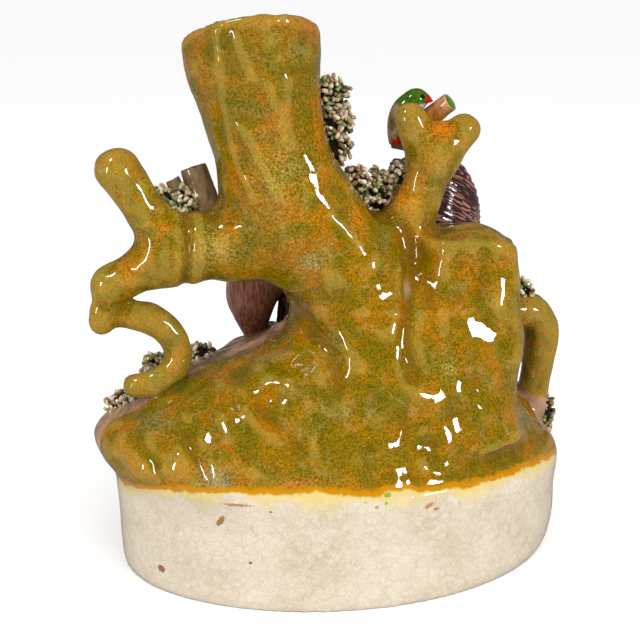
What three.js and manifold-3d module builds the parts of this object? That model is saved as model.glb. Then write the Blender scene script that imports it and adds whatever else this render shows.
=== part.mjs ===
// Figural spill vase in lead-glazed earthenware, millimetres, +Z up.
// Origin: middle of the oval plinth, on its flat underside. The tree's back faces -Y, the animal faces +Y.
import * as THREE from 'three';
import { LoftGeometry } from 'three/addons/geometries/LoftGeometry.js';
import { mergeVertices } from 'three/addons/utils/BufferGeometryUtils.js';
import Module from 'manifold-3d';

const wasm = await Module();
wasm.setup();

// All shapes are laid out from the tree's own datum, the line that its limbs are measured from.
// Plinth: an oval drum, set a little askew under the tree, that widens slightly upwards.
const PLINTH = { x: 4.2, y: 3.8, halfLength: 125.5, halfDepth: 93, height: 56 };
const PLINTH_TURN = THREE.MathUtils.degToRad(5.5);
const PLINTH_FLARE = 2.4;
const FOOT_SPREAD = 0.7;
const OVAL_SIDES = 34;

// Trunk: the spill holder, leaning from the rock up to a slanted mouth.
const MOUTH = { x: -46.4, y: -8, z: 289.5, halfWidth: 36.8, halfDepth: 34 };
const MOUTH_TILT_X = 0.06;
const MOUTH_TILT_Y = -0.38;
const WALL = 7.5;
const LIP_ROUND = 3;
const TRUNK_SIDES = 24;
const WELL_SIDES = 20;

// Limbs are nearly in the plane of the trunk.
const LIMB_Y = -8;
const LIMB_SIDES = 12;

// The mound's crest runs along the middle; the animal stands on the ground in front of it.
const CREST_Y = 4;
const ANIMAL_Y = 45;

const glaze = new THREE.MeshStandardMaterial({ color: 0x96782a, roughness: 0.15, metalness: 0 });

// Solids and joins.

function loft(rings) {
  const surface = new THREE.BufferGeometry().copy(new LoftGeometry(rings, { capStart: true, capEnd: true }));
  surface.deleteAttribute('normal');
  surface.deleteAttribute('uv');
  const merged = mergeVertices(surface, 1e-4);
  return new wasm.Manifold(new wasm.Mesh({
    numProp: 3,
    vertProperties: new Float32Array(merged.attributes.position.array),
    triVerts: new Uint32Array(merged.index.array),
  }));
}

function join(solids) {
  return solids.reduce((whole, solid) => whole.add(solid));
}

function toGeometry(solid) {
  const mesh = solid.getMesh();
  const geometry = new THREE.BufferGeometry();
  geometry.setAttribute('position', new THREE.BufferAttribute(mesh.vertProperties, 3));
  geometry.setIndex(new THREE.BufferAttribute(mesh.triVerts, 1));
  geometry.computeVertexNormals();
  return geometry;
}

// Soft wandering value between -1 and 1, for hand-modelled unevenness.
function wander(a, b, seed) {
  return (Math.sin(3 * a + seed) * Math.cos(0.06 * b + 2 * seed) + Math.sin(5 * a - 0.045 * b + 4 * seed)) / 2;
}

// Level ring with a superellipse outline between its left, right, back and front limits, turned about its middle.
// Slant draws its left end in towards the front, so that the ground it belongs to falls forwards.
function levelRing({ z, left, right, back, front, power = 2.4, turn = 0, slant = 0, rough = 0, seed = 0 }) {
  const centreX = (left + right) / 2;
  const centreY = (back + front) / 2;
  const points = [];
  for (let i = 0; i < OVAL_SIDES; i++) {
    const angle = (i / OVAL_SIDES) * 2 * Math.PI;
    const c = Math.cos(angle);
    const s = Math.sin(angle);
    const reach = (Math.abs(c) ** power + Math.abs(s) ** power) ** (-1 / power);
    const uneven = 1 + rough * wander(angle, z, seed);
    const dx = (reach * c * uneven * (right - left)) / 2;
    const dy = (reach * s * uneven * (front - back)) / 2;
    const x = centreX + dx * Math.cos(turn) - dy * Math.sin(turn);
    const y = centreY + dx * Math.sin(turn) + dy * Math.cos(turn);
    const leftness = Math.max(0, -dx) / ((right - left) / 2);
    points.push(new THREE.Vector3(x + slant * leftness * Math.max(0, y - CREST_Y), y, z));
  }
  return points;
}

// Rounded limb along a smooth curve. Each station is [x, y, z, radius]; depth scales the limb across the curve.
function limb(stations, { sides = LIMB_SIDES, steps = 10, depth = 1, reference = new THREE.Vector3(0, 1, 0),
  roundStart = 0, roundEnd = 0.8 } = {}) {
  const curve = new THREE.CatmullRomCurve3(stations.map(([x, y, z]) => new THREE.Vector3(x, y, z)), false, 'centripetal');
  const radiusAt = (t) => {
    const place = t * (stations.length - 1);
    const i = Math.min(Math.floor(place), stations.length - 2);
    return THREE.MathUtils.lerp(stations[i][3], stations[i + 1][3], THREE.MathUtils.smoothstep(place - i, 0, 1));
  };
  const ring = (t, radius, shift) => {
    const tangent = curve.getTangent(t);
    const across = reference.clone().addScaledVector(tangent, -reference.dot(tangent)).normalize();
    const side = across.clone().cross(tangent);
    const centre = curve.getPoint(t).addScaledVector(tangent, shift);
    return Array.from({ length: sides }, (_, k) => {
      const angle = (k / sides) * 2 * Math.PI;
      return centre.clone()
        .addScaledVector(side, radius * Math.cos(angle))
        .addScaledVector(across, radius * depth * Math.sin(angle));
    });
  };
  const rings = [];
  const dome = [0.9, 0.55];
  if (roundStart > 0) {
    for (const s of dome) rings.push(ring(0, radiusAt(0) * Math.sqrt(1 - s * s), -radiusAt(0) * s * roundStart));
  }
  for (let i = 0; i <= steps; i++) rings.push(ring(i / steps, radiusAt(i / steps), 0));
  if (roundEnd > 0) {
    for (const s of [...dome].reverse()) rings.push(ring(1, radiusAt(1) * Math.sqrt(1 - s * s), radiusAt(1) * s * roundEnd));
  }
  return loft(rings);
}

// Uneven ball, flattened or stretched, for heads, haunches and moss.
function lump([x, y, z], [halfX, halfY, halfZ], { sides = 9, rows = 6, rough = 0, seed = 0 } = {}) {
  const rings = [];
  for (let row = 1; row < rows; row++) {
    const lift = -Math.cos((row / rows) * Math.PI);
    const width = Math.sin((row / rows) * Math.PI);
    rings.push(Array.from({ length: sides }, (_, k) => {
      const angle = (k / sides) * 2 * Math.PI;
      const uneven = 1 + rough * Math.sin(3 * angle + 5 * lift + seed) * Math.cos(2 * angle + seed);
      return new THREE.Vector3(
        x + halfX * width * uneven * Math.cos(angle),
        y + halfY * width * uneven * Math.sin(angle),
        z + halfZ * lift,
      );
    }));
  }
  return loft(rings);
}

// Cut branch stub with a flat end.
function stub(base, tip, baseRadius, tipRadius) {
  return limb([[...base, baseRadius], [...tip, tipRadius]], { sides: 10, steps: 2, roundEnd: 0 });
}

// Oval plinth with a slight lip at its foot.
function plinth() {
  const shape = (z, grow) => levelRing({
    z,
    left: PLINTH.x - PLINTH.halfLength - grow,
    right: PLINTH.x + PLINTH.halfLength + grow,
    back: PLINTH.y - PLINTH.halfDepth - grow,
    front: PLINTH.y + PLINTH.halfDepth + grow,
    power: 1.92,
    turn: PLINTH_TURN,
  });
  return loft([
    shape(0, FOOT_SPREAD - 1.2),
    shape(2, FOOT_SPREAD),
    shape(12, PLINTH_FLARE * 0.2),
    shape(PLINTH.height, PLINTH_FLARE),
  ]);
}

// Rocky mound: it overhangs the plinth at the left and climbs to the right, and its ground falls towards the front.
function mound() {
  const levels = [
    { z: 46, left: -120, right: 128, back: -88, front: 94, power: 2, turn: 5.5 },
    { z: 54, left: -124, right: 131, back: -91, front: 97, power: 2, turn: 5.5 },
    { z: 60, left: -128, right: 127, back: -90, front: 97, power: 2.05, turn: 5.5 },
    { z: 68, left: -135, right: 120, back: -87, front: 96, power: 2.1, turn: 5, slant: 0.05 },
    { z: 77, left: -136, right: 112, back: -83, front: 93, power: 2.15, turn: 4, slant: 0.2 },
    { z: 85, left: -129, right: 105, back: -78, front: 90, power: 2.2, turn: 3, slant: 0.3 },
    { z: 93, left: -113, right: 99, back: -74, front: 86, power: 2.3, turn: 2, slant: 0.42 },
    { z: 103, left: -92, right: 95, back: -69, front: 82, power: 2.4, turn: 1, slant: 0.45 },
    { z: 113, left: -72, right: 94, back: -63, front: 77, power: 2.5, slant: 0.48 },
    { z: 124, left: -45, right: 93, back: -58, front: 71, power: 2.6, slant: 0.5 },
    { z: 134, left: -28, right: 92, back: -54, front: 63, power: 2.6, slant: 0.7 },
    { z: 139, left: -22, right: 90, back: -52, front: 42, power: 2.6, slant: 0.6 },
    { z: 146, left: -14, right: 88, back: -49, front: 16, power: 2.6 },
  ];
  return loft(levels.map((level) => levelRing({
    ...level,
    turn: THREE.MathUtils.degToRad(level.turn ?? 0),
    rough: level.z > 64 ? 0.016 : 0,
    seed: 1.3,
  })));
}

// Squared rock at the right, with a raised corner at the top.
function rock() {
  const levels = [
    { z: 80, left: 30, right: 98, back: -66, front: 16 },
    { z: 104, left: 34, right: 95, back: -58, front: 16 },
    { z: 122, left: 36, right: 99.5, back: -54, front: 16 },
    { z: 145, left: 38, right: 97, back: -50, front: 15 },
    { z: 165, left: 40, right: 96.5, back: -46, front: 13 },
    { z: 177, left: 42, right: 97, back: -43, front: 11 },
    { z: 184, left: 46, right: 93.5, back: -38, front: 8 },
  ];
  const horn = lump([77, -18, 178], [18, 20, 12], { sides: 12, rough: 0.03 });
  return join([loft(levels.map((level) => levelRing({ ...level, power: 2.3, rough: 0.02, seed: 2.1 }))), horn]);
}

// Ring of the trunk or of its well: an oval with soft upright ridges, tilted towards the slanted mouth.
function trunkRing({ x, y, z, halfWidth, halfDepth, tilt = 0, ridges = 0 }, sides = TRUNK_SIDES) {
  return Array.from({ length: sides }, (_, k) => {
    const angle = (k / sides) * 2 * Math.PI;
    const uneven = 1 + ridges * (0.6 * Math.cos(5 * angle + 0.8) + 0.4 * Math.cos(8 * angle + 2));
    const dx = halfWidth * uneven * Math.cos(angle);
    const dy = halfDepth * uneven * Math.sin(angle);
    return new THREE.Vector3(x + dx, y + dy, z + tilt * (MOUTH_TILT_X * dx + MOUTH_TILT_Y * dy));
  });
}

// Outside of the trunk, from the rock to its rounded lip.
function trunk() {
  const levels = [
    { x: 34, y: -14, z: 84, halfWidth: 60, halfDepth: 50 },
    { x: 28, y: -12, z: 122, halfWidth: 52, halfDepth: 43 },
    { x: 14, y: -11, z: 152, halfWidth: 44, halfDepth: 38 },
    { x: -5, y: -9, z: 172, halfWidth: 43, halfDepth: 36, tilt: 0.1 },
    { x: -19, y: -8, z: 190, halfWidth: 42, halfDepth: 35, tilt: 0.2 },
    { x: -28.5, y: -8, z: 208, halfWidth: 36.5, halfDepth: 33, tilt: 0.35 },
    { x: -35, y: -8, z: 226, halfWidth: 32, halfDepth: 31, tilt: 0.5, ridges: 0.01 },
    { x: -40, y: -8, z: 242, halfWidth: 32.5, halfDepth: 31, tilt: 0.65, ridges: 0.015 },
    { x: -43.5, y: -8, z: 258, halfWidth: 34, halfDepth: 32, tilt: 0.8, ridges: 0.015 },
    { x: -45.6, y: -8, z: 273, halfWidth: 36, halfDepth: 33.5, tilt: 1, ridges: 0.015 },
    { ...MOUTH, z: MOUTH.z - LIP_ROUND, tilt: 1, ridges: 0.012 },
    { ...MOUTH, tilt: 1, halfWidth: MOUTH.halfWidth - 1, halfDepth: MOUTH.halfDepth - 1, ridges: 0.012 },
    { ...MOUTH, z: MOUTH.z + LIP_ROUND * 0.6, tilt: 1, halfWidth: MOUTH.halfWidth - 3, halfDepth: MOUTH.halfDepth - 3 },
  ];
  return loft(levels.map((level) => trunkRing(level)));
}

// Hollow of the trunk: it follows the lean, and its wall has one thickness from the waist to the mouth.
function well() {
  const levels = [
    { x: -11, y: -9, z: 152, halfWidth: 7, halfDepth: 7 },
    { x: -13, y: -9, z: 156, halfWidth: 15, halfDepth: 15, tilt: 0.05 },
    { x: -18, y: -9, z: 168, halfWidth: 21, halfDepth: 21, tilt: 0.1 },
    { x: -26, y: -8, z: 190, halfWidth: 23.5, halfDepth: 23, tilt: 0.2 },
    { x: -35, y: -8, z: 226, halfWidth: 32 - WALL, halfDepth: 31 - WALL, tilt: 0.5 },
    { x: -43.5, y: -8, z: 258, halfWidth: 34 - WALL, halfDepth: 32 - WALL, tilt: 0.8 },
    { x: -46.5, y: -8, z: 279, halfWidth: MOUTH.halfWidth - WALL, halfDepth: MOUTH.halfDepth - WALL, tilt: 1 },
    { ...MOUTH, z: MOUTH.z + 12, halfWidth: MOUTH.halfWidth - WALL + 1, halfDepth: MOUTH.halfDepth - WALL + 1, tilt: 1 },
  ];
  return loft(levels.map((level) => trunkRing(level, WELL_SIDES)));
}

// Left arm: a stout bough from the trunk, parting at its end into an upper stub and a lower branch.
function leftBranches() {
  const y = LIMB_Y;
  const arm = limb([[-20, y, 186, 24], [-50, y, 180.5, 21.5], [-72, y, 179, 19], [-92, y, 176.5, 16.5]], { steps: 7 });
  const upper = limb([[-84, y, 182, 14], [-97, y, 192, 12.5], [-108, y, 207, 11.2], [-118.5, y, 224, 11.5]], { steps: 8 });
  const lower = limb([[-84, y, 176.5, 15], [-103, y, 169.5, 12], [-121, y, 161, 10]], { steps: 6 });
  const nub = limb([[-121, y, 160, 9.5], [-125.5, y, 150, 7], [-129.5, y, 141, 7.2]], { steps: 4 });
  const saddle = lump([-74, 4, 186], [20, 14, 11]);
  return join([arm, upper, lower, nub, saddle]);
}

// Tendril: springs from the knuckle of the lower branch and curls back to rest on the mound.
function tendril() {
  const y = LIMB_Y;
  return limb([
    [-126, y, 146, 7.5], [-113, y, 144, 8], [-100, y, 139.5, 8], [-91.5, y, 131, 7.8], [-88.5, y - 1, 121, 7.6],
    [-92.5, y - 2, 111, 7.6], [-102, y - 2, 105.5, 7.4], [-113, y - 2, 104.5, 6.8],
  ], { sides: 10, steps: 14 });
}

// Right branch, forked at its top.
function fork() {
  const y = LIMB_Y;
  const stem = limb([[26, y, 168, 19], [36, y, 186, 15.5], [45, y, 203, 12.5], [51, y, 220, 12.2], [53, y, 230, 12]],
    { steps: 8 });
  const leftProng = limb([[50, y, 222, 11], [43, y, 236, 9.5], [39.5, y, 245, 8.5]], { steps: 4 });
  const rightProng = limb([[52, y, 220, 11], [61, y, 230, 11], [69, y, 238, 9]], { steps: 4 });
  const crotch = lump([55, y, 233], [11, 10, 9]);
  return join([stem, leftProng, rightProng, crotch]);
}

// Root at the right: it leaves the rock, bends down and meets the ground, open like a small handle.
function rootHandle() {
  return limb([
    [84, 8, 130, 15], [102, 10, 131, 12], [116, 12, 130, 10.8], [123, 12, 119, 10.2], [123, 12, 106, 9.4],
    [121, 12, 90, 8.8], [119, 12, 72, 8.8],
  ], { sides: 10, steps: 12, depth: 1.1 });
}

// Painted stubs of cut twigs, on the arm and behind the fork.
function twigs() {
  return join([
    stub([-65.5, 2, 184], [-76.5, 8, 220], 8.4, 7.2),
    stub([-77, 2, 190], [-88, 6, 214], 4.8, 4),
    stub([50, 0, 240], [65.5, 6, 253], 5.5, 5.4),
    stub([50, 6, 228], [34, 12, 230.5], 4.4, 4.2),
  ]);
}

// Small bird perched behind the left prong.
function bird() {
  const body = limb([[31, 5, 232, 3], [35.5, 5, 240, 6], [38.5, 5, 247, 7.5], [42.5, 5, 252, 6.5]],
    { sides: 10, steps: 6, roundStart: 0.8 });
  const head = lump([45, 4.5, 254], [5.6, 5.4, 5.4]);
  const beak = limb([[48, 4, 254.5, 2.6], [52, 3.5, 253, 1]], { sides: 8, steps: 2 });
  return join([body, head, beak]);
}

// Maned animal on the ground in front, climbing to the right, its head turned to the front.
function animal() {
  const y = ANIMAL_Y;
  const body = limb([[-38.5, y, 148, 15], [-18, y, 155, 15], [10, y, 160, 15.5], [36, y, 168, 18], [52, y - 2, 178, 19]],
    { steps: 8, roundStart: 0.9 });
  const mane = limb([[64, y - 5, 164, 22], [62.5, y - 5, 178, 29.5], [62, y - 4, 191, 28], [62.5, y - 3, 203, 19]],
    { sides: 12, steps: 5, depth: 0.9, roundStart: 0.6 });
  const chest = limb([[56, y + 2, 176, 20], [52, y + 4, 156, 17], [46, y + 4, 140, 14]], { steps: 4 });
  const face = limb([[62, y + 8, 188, 15], [63, y + 18, 186, 13.5], [64, y + 28, 181, 9.5]],
    { steps: 4, reference: new THREE.Vector3(0, 0, 1) });
  const hindLegs = [-3, 17].map((shift) => limb([
    [-39, y + shift, 148, 15], [-41, y + shift, 134, 12.8], [-40, y + shift, 122, 8.5], [-36, y + shift, 112, 7],
  ], { sides: 10, steps: 5 }));
  const hindPaws = [-2, 18].map((shift) => lump([-30, y + shift, 114], [10, 7, 5.5], { sides: 8, rows: 6 }));
  const foreLegs = [-2, 17].map((shift) => limb([
    [48, y + shift, 160, 10], [46, y + shift, 146, 7.5], [44, y + shift, 132, 7],
  ], { sides: 10, steps: 4 }));
  const forePaws = [-1, 18].map((shift) => lump([38, y + shift, 139], [10, 7, 6], { sides: 8, rows: 6 }));
  const prop = limb([[-14, y + 2, 152, 10], [-18, y + 2, 134, 6.5], [-20, y + 2, 112, 8]], { sides: 10, steps: 4 });
  return join([body, mane, chest, face, ...hindLegs, ...hindPaws, ...foreLegs, ...forePaws, prop]);
}

// Clumps of shredded clay moss: each has a middle and three half sizes.
function moss() {
  const clumps = [
    [[-3, 4, 257], [10, 10, 10]],
    [[-1, 4, 243], [11, 10, 10]],
    [[-1, 4, 229], [10, 10, 10]],
    [[11, 4, 209], [9, 10, 10]],
    [[24, 4, 203], [11, 11, 13]],
    [[37, 4, 209], [9, 9, 11]],
    [[-94, 2, 202], [8, 9, 9]],
    [[-82, 4, 202], [9, 9, 10]],
    [[-117, 10, 88], [11, 12, 7]],
    [[-98, 22, 101], [9, 11, 12]],
    [[-72, 24, 106], [11, 12, 10]],
    [[110.5, 10, 143], [5.5, 6, 6]],
    [[134, 25, 64], [7, 10, 12]],
    [[114, 30, 74], [7, 8, 7]],
    [[-58, 70, 84], [13, 10, 9]],
    [[6, 79, 106], [14, 8, 11]],
    [[72, 70, 106], [14, 9, 11]],
    [[82, 40, 136], [9, 10, 8]],
  ];
  return join(clumps.map(([middle, halves], i) => lump(middle, halves, { sides: 7, rows: 5, rough: 0.1, seed: i })));
}

function spillVase() {
  const outside = join([
    plinth(), mound(), rock(), trunk(), leftBranches(), tendril(), fork(), rootHandle(), twigs(), bird(),
    animal(), moss(),
  ]);
  const mesh = new THREE.Mesh(toGeometry(outside.subtract(well())), glaze);
  mesh.name = 'spill_vase';
  mesh.position.set(-PLINTH.x, -PLINTH.y, 0);
  return mesh;
}

const vase = new THREE.Group();
vase.add(spillVase());

export default vase;
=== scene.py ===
# Figural spill vase in lead-glazed earthenware, seen from the modelled back of its tree.
# Shapes are laid out in millimetres from the tree's own datum and moved to the frame when a mesh is made.
import bpy
import numpy as np
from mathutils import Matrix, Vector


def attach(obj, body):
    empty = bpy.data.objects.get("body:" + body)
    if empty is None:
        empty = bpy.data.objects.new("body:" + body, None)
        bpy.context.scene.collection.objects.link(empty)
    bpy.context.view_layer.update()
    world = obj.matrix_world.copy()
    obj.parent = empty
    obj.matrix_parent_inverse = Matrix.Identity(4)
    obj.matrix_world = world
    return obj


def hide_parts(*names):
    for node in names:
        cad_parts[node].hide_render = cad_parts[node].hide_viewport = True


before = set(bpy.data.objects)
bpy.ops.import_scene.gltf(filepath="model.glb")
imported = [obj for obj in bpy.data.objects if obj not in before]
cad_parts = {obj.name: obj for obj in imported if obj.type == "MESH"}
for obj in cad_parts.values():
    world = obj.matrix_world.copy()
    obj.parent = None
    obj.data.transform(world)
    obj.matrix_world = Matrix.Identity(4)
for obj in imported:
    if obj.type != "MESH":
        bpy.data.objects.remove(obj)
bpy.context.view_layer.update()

# The clay body
# Plinth, mound, rock, trunk, boughs, tendril and root are cream earthenware, press-moulded and rolled, and luted
# together while the clay was soft. The joins are worked over by hand, so the whole body has one unbroken skin.

DATUM = np.array([4.2, 3.8, 0.0])


def through(places, values, at):
    """Smooth curve through values at given places: cubic spans whose end slopes come from the neighbours."""
    places = np.asarray(places, float)
    values = np.asarray(values, float)
    slopes = np.gradient(values, places, axis=0)
    at = np.clip(at, places[0], places[-1])
    i = np.clip(np.searchsorted(places, at) - 1, 0, len(places) - 2)
    span = places[i + 1] - places[i]
    t = (at - places[i]) / span
    t, span = (v.reshape(v.shape + (1,) * (values.ndim - 1)) for v in (t, span))
    start, end = values[i], values[i + 1]
    rise, fall = slopes[i] * span, slopes[i + 1] * span
    return start + t * rise + t**2 * (3 * (end - start) - 2 * rise - fall) + t**3 * (2 * (start - end) + rise + fall)


def ease(value, low, high):
    """Slides from 0 at the low value to 1 at the high value, level at both ends."""
    t = np.clip((value - low) / (high - low), 0, 1)
    return t * t * (3 - 2 * t)


class Clay:
    """Worked clay: a box of samples of the distance to its surface in millimetres, negative inside."""

    def __init__(self, low, high, step):
        self.low, self.step = np.array(low, float), step
        self.axes = [np.arange(a, b, step) for a, b in zip(low, high)]
        self.field = np.full([len(axis) for axis in self.axes], 60.0)

    def window(self, low, high, margin=15):
        """Slices of the box that cover a smaller box and a margin, with open arrays of their coordinates."""
        cut = tuple(slice(*np.searchsorted(axis, (a - margin, b + margin)))
                    for axis, a, b in zip(self.axes, low, high))
        return cut, np.ix_(*(axis[c] for axis, c in zip(self.axes, cut)))

    def true_distance(self, part):
        """A field divided by its own slope, so that it counts millimetres near its surface."""
        slope = np.sqrt(sum(g**2 for g in np.gradient(part, self.step)))
        return part / np.maximum(slope, 0.35)

    def join(self, part, cut, blend):
        """Lays a part on the clay: the lower of both distances, filled in between them over the blend."""
        old = self.field[cut]
        share = np.clip(0.5 + 0.5 * (old - part) / blend, 0, 1)
        self.field[cut] = old * (1 - share) + part * share - blend * share * (1 - share)

    def cut_away(self, part, cut, blend):
        """Takes a part out of the clay: the higher of the distance and the part's turned distance, eased."""
        old = self.field[cut]
        share = np.clip(0.5 - 0.5 * (old + part) / blend, 0, 1)
        self.field[cut] = old * (1 - share) - part * share + blend * share * (1 - share)

    def limb(self, stations, blend=7, depth=1.0, spans=18):
        """Rolled limb: distance to a smooth path less its radius there. Depth widens it across, along y."""
        path = through(np.arange(len(stations)), stations, np.linspace(0, len(stations) - 1, spans + 1))
        reach = path[:, 3:].max() * max(depth, 1)
        whole, _ = self.window(path[:, :3].min(0) - reach, path[:, :3].max(0) + reach)
        part = np.full(self.field.shape, 60.0)
        for a, b in zip(path[:-1], path[1:]):
            low, high = np.minimum(a, b)[:3] - reach, np.maximum(a, b)[:3] + reach
            cut, (x, y, z) = self.window(low, high)
            dx, dy, dz, grow = b - a
            t = np.clip(((x - a[0]) * dx + (y - a[1]) * dy + (z - a[2]) * dz) / (dx * dx + dy * dy + dz * dz), 0, 1)
            away = np.sqrt((x - a[0] - t * dx)**2 + ((y - a[1] - t * dy) / depth)**2 + (z - a[2] - t * dz)**2)
            part[cut] = np.minimum(part[cut], away - a[3] - t * grow)
        self.join(part[whole], whole, blend)

    def ball(self, middle, halves, blend=6):
        """Pressed ball: an ellipsoid's distance, taken from its two scaled lengths."""
        middle, halves = np.array(middle, float), np.array(halves, float)
        cut, (x, y, z) = self.window(middle - halves, middle + halves)
        scaled = [(v - m) / h for v, m, h in zip((x, y, z), middle, halves)]
        near = np.sqrt(sum(s**2 for s in scaled)) + 1e-6
        steep = np.sqrt(sum((s / h)**2 for s, h in zip(scaled, halves))) + 1e-6
        self.join(near * (near - 1) / steep, cut, blend)

    def block(self, levels, crest_y=4.0):
        """Built-up block: at each height a superellipse between its left, right, back and front limits.

        Each level is (z, left, right, back, front, power, turn in degrees, slant). Slant draws the left end in
        towards the front, so that the ground there falls forwards."""
        levels = np.array(levels, float)
        cut, (x, y, z) = self.window([levels[:, 1].min(), levels[:, 3].min(), levels[0, 0]],
                                     [levels[:, 2].max(), levels[:, 4].max(), levels[-1, 0]])
        left, right, back, front, power, turn, slant = through(levels[:, 0], levels[:, 1:], z.ravel()).T
        half_x, half_y = (right - left) / 2, (front - back) / 2
        dx, dy = x - (left + right) / 2, y - (back + front) / 2
        narrowing = 1 - slant * np.maximum(0, y - crest_y) / half_x
        dx = np.where(dx < 0, dx / np.maximum(narrowing, 0.15), dx)
        c, s = np.cos(np.radians(turn)), np.sin(np.radians(turn))
        across, along = np.abs(dx * c + dy * s) / half_x, np.abs(dy * c - dx * s) / half_y
        part = ((across**power + along**power + 1e-9)**(1 / power) - 1) * np.minimum(half_x, half_y)
        part = self.true_distance(part)
        ends = np.maximum(levels[0, 0] - z, z - levels[-1, 0]) + 0 * part
        return np.maximum(part, ends), cut

    def sample(self, points):
        """Distance and its gradient at any points, weighted from the eight samples round each."""
        place = (points - self.low) / self.step
        i = np.clip(place.astype(int), 0, np.array(self.field.shape) - 2)
        f = place - i
        values = np.zeros((len(points), 4))
        for corner in np.ndindex(2, 2, 2):
            weight = np.prod(np.where(corner, f, 1 - f), axis=1)
            at = tuple((i + corner).T)
            values += weight[:, None] * np.stack([layer[at] for layer in self.layers], 1)
        return values[:, 0], values[:, 1:]

    def skin(self, rounds=4):
        """Surface nets: one point for each cell that the surface crosses, at the mean of its crossed edges, and
        one four-sided face round each crossed edge. The points are then evened out and put back on the surface."""
        self.layers = [self.field, *np.gradient(self.field, self.step)]
        stride = np.array([self.field.shape[1] * self.field.shape[2], self.field.shape[2], 1])
        places, rings = [], []
        for axis in range(3):
            b, c = stride[(axis + 1) % 3], stride[(axis + 2) % 3]
            low = np.delete(np.arange(self.field.shape[axis]), -1)
            start, end = self.field.take(low, axis), self.field.take(low + 1, axis)
            at = np.argwhere((start < 0) != (end < 0))
            first, last = start[tuple(at.T)], end[tuple(at.T)]
            place = at.astype(float)
            place[:, axis] += first / (first - last)
            corner = at @ stride
            ring = np.stack([corner - b - c, corner - c, corner, corner - b], 1)
            ring[first > 0] = ring[first > 0][:, ::-1]
            places.append(np.repeat(place, 4, axis=0))
            rings.append(ring)
        places, rings = np.concatenate(places), np.concatenate(rings)
        _, index = np.unique(rings.ravel(), return_inverse=True)
        index = index.ravel()
        count = np.bincount(index)
        points = np.stack([np.bincount(index, weights=places[:, k]) / count for k in range(3)], 1)
        points = self.low + points * self.step
        faces = index.reshape(-1, 4)
        for _ in range(rounds):
            points = points + 0.6 * (neighbour_mean(points, faces) - points)
            for _ in range(2):
                distance, slope = self.sample(points)
                points = points - slope * (distance / np.maximum((slope**2).sum(1), 0.2))[:, None]
        return points, faces


def neighbour_mean(values, faces):
    """Mean of each point's neighbours along the faces' edges."""
    one, two = faces.ravel(), np.roll(faces, -1, axis=1).ravel()
    near = np.concatenate([one, two])
    far = values[np.concatenate([two, one])]
    count = np.maximum(np.bincount(near, minlength=len(values)), 1)
    if values.ndim == 1:
        return np.bincount(near, weights=far, minlength=len(values)) / count
    return np.stack([np.bincount(near, weights=far[:, k], minlength=len(values)) / count
                     for k in range(values.shape[1])], 1)


def point_normals(points, faces):
    """Outward unit normal at each point: the sum of the cross products of its faces' diagonals."""
    a, b, c, d = (points[faces[:, k]] for k in range(4))
    turned = np.cross(c - a, d - b)
    total = np.stack([np.bincount(faces.ravel(), weights=np.repeat(turned[:, k], 4), minlength=len(points))
                      for k in range(3)], 1)
    return total / np.maximum(np.linalg.norm(total, axis=1), 1e-9)[:, None]


def wander(points, size, seed, octaves=2):
    """Soft unevenness from -1 to 1 with lumps of a given size: random values on a slanting lattice, eased between
    its points, with further layers of half the size and height."""
    random = np.random.default_rng(seed)
    lattice = random.uniform(-1, 1, (32, 32, 32))
    total = np.zeros(len(points))
    for octave in range(octaves):
        slant, _ = np.linalg.qr(random.normal(size=(3, 3)))
        place = points @ slant * 2.0**octave / size + 7.3 * seed
        i = np.floor(place).astype(int)
        f = place - i
        f = f * f * f * (f * (6 * f - 15) + 10)
        for corner in np.ndindex(2, 2, 2):
            weight = np.prod(np.where(corner, f, 1 - f), axis=1)
            total += 0.5**octave * weight * lattice[tuple(((i + corner) % 32).T)]
    return total


def make_piece(name, points, faces, material, masks=()):
    """Puts points in millimetres from the datum, and faces of one size, into a mesh in metres in the frame."""
    mesh = bpy.data.meshes.new(name)
    mesh.vertices.add(len(points))
    mesh.vertices.foreach_set("co", ((points - DATUM) / 1000).astype(np.float32).ravel())
    corners = faces.shape[1]
    mesh.loops.add(faces.size)
    mesh.loops.foreach_set("vertex_index", faces.astype(np.int32).ravel())
    mesh.polygons.add(len(faces))
    mesh.polygons.foreach_set("loop_start", np.arange(0, faces.size, corners, dtype=np.int32))
    mesh.polygons.foreach_set("loop_total", np.full(len(faces), corners, np.int32))
    mesh.polygons.foreach_set("use_smooth", np.ones(len(faces), bool))
    mesh.update(calc_edges=True)
    mesh.validate()
    for mask, values in dict(masks).items():
        width = 1 if values.ndim == 1 else values.shape[1]
        kind, field = {1: ("FLOAT", "value"), 3: ("FLOAT_VECTOR", "vector"), 4: ("FLOAT_COLOR", "color")}[width]
        mesh.attributes.new(mask, kind, "POINT").data.foreach_set(field, values.astype(np.float32).ravel())
    mesh.materials.append(material)
    piece = bpy.data.objects.new(name, mesh)
    bpy.context.scene.collection.objects.link(piece)
    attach(piece, "root")
    return piece


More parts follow.
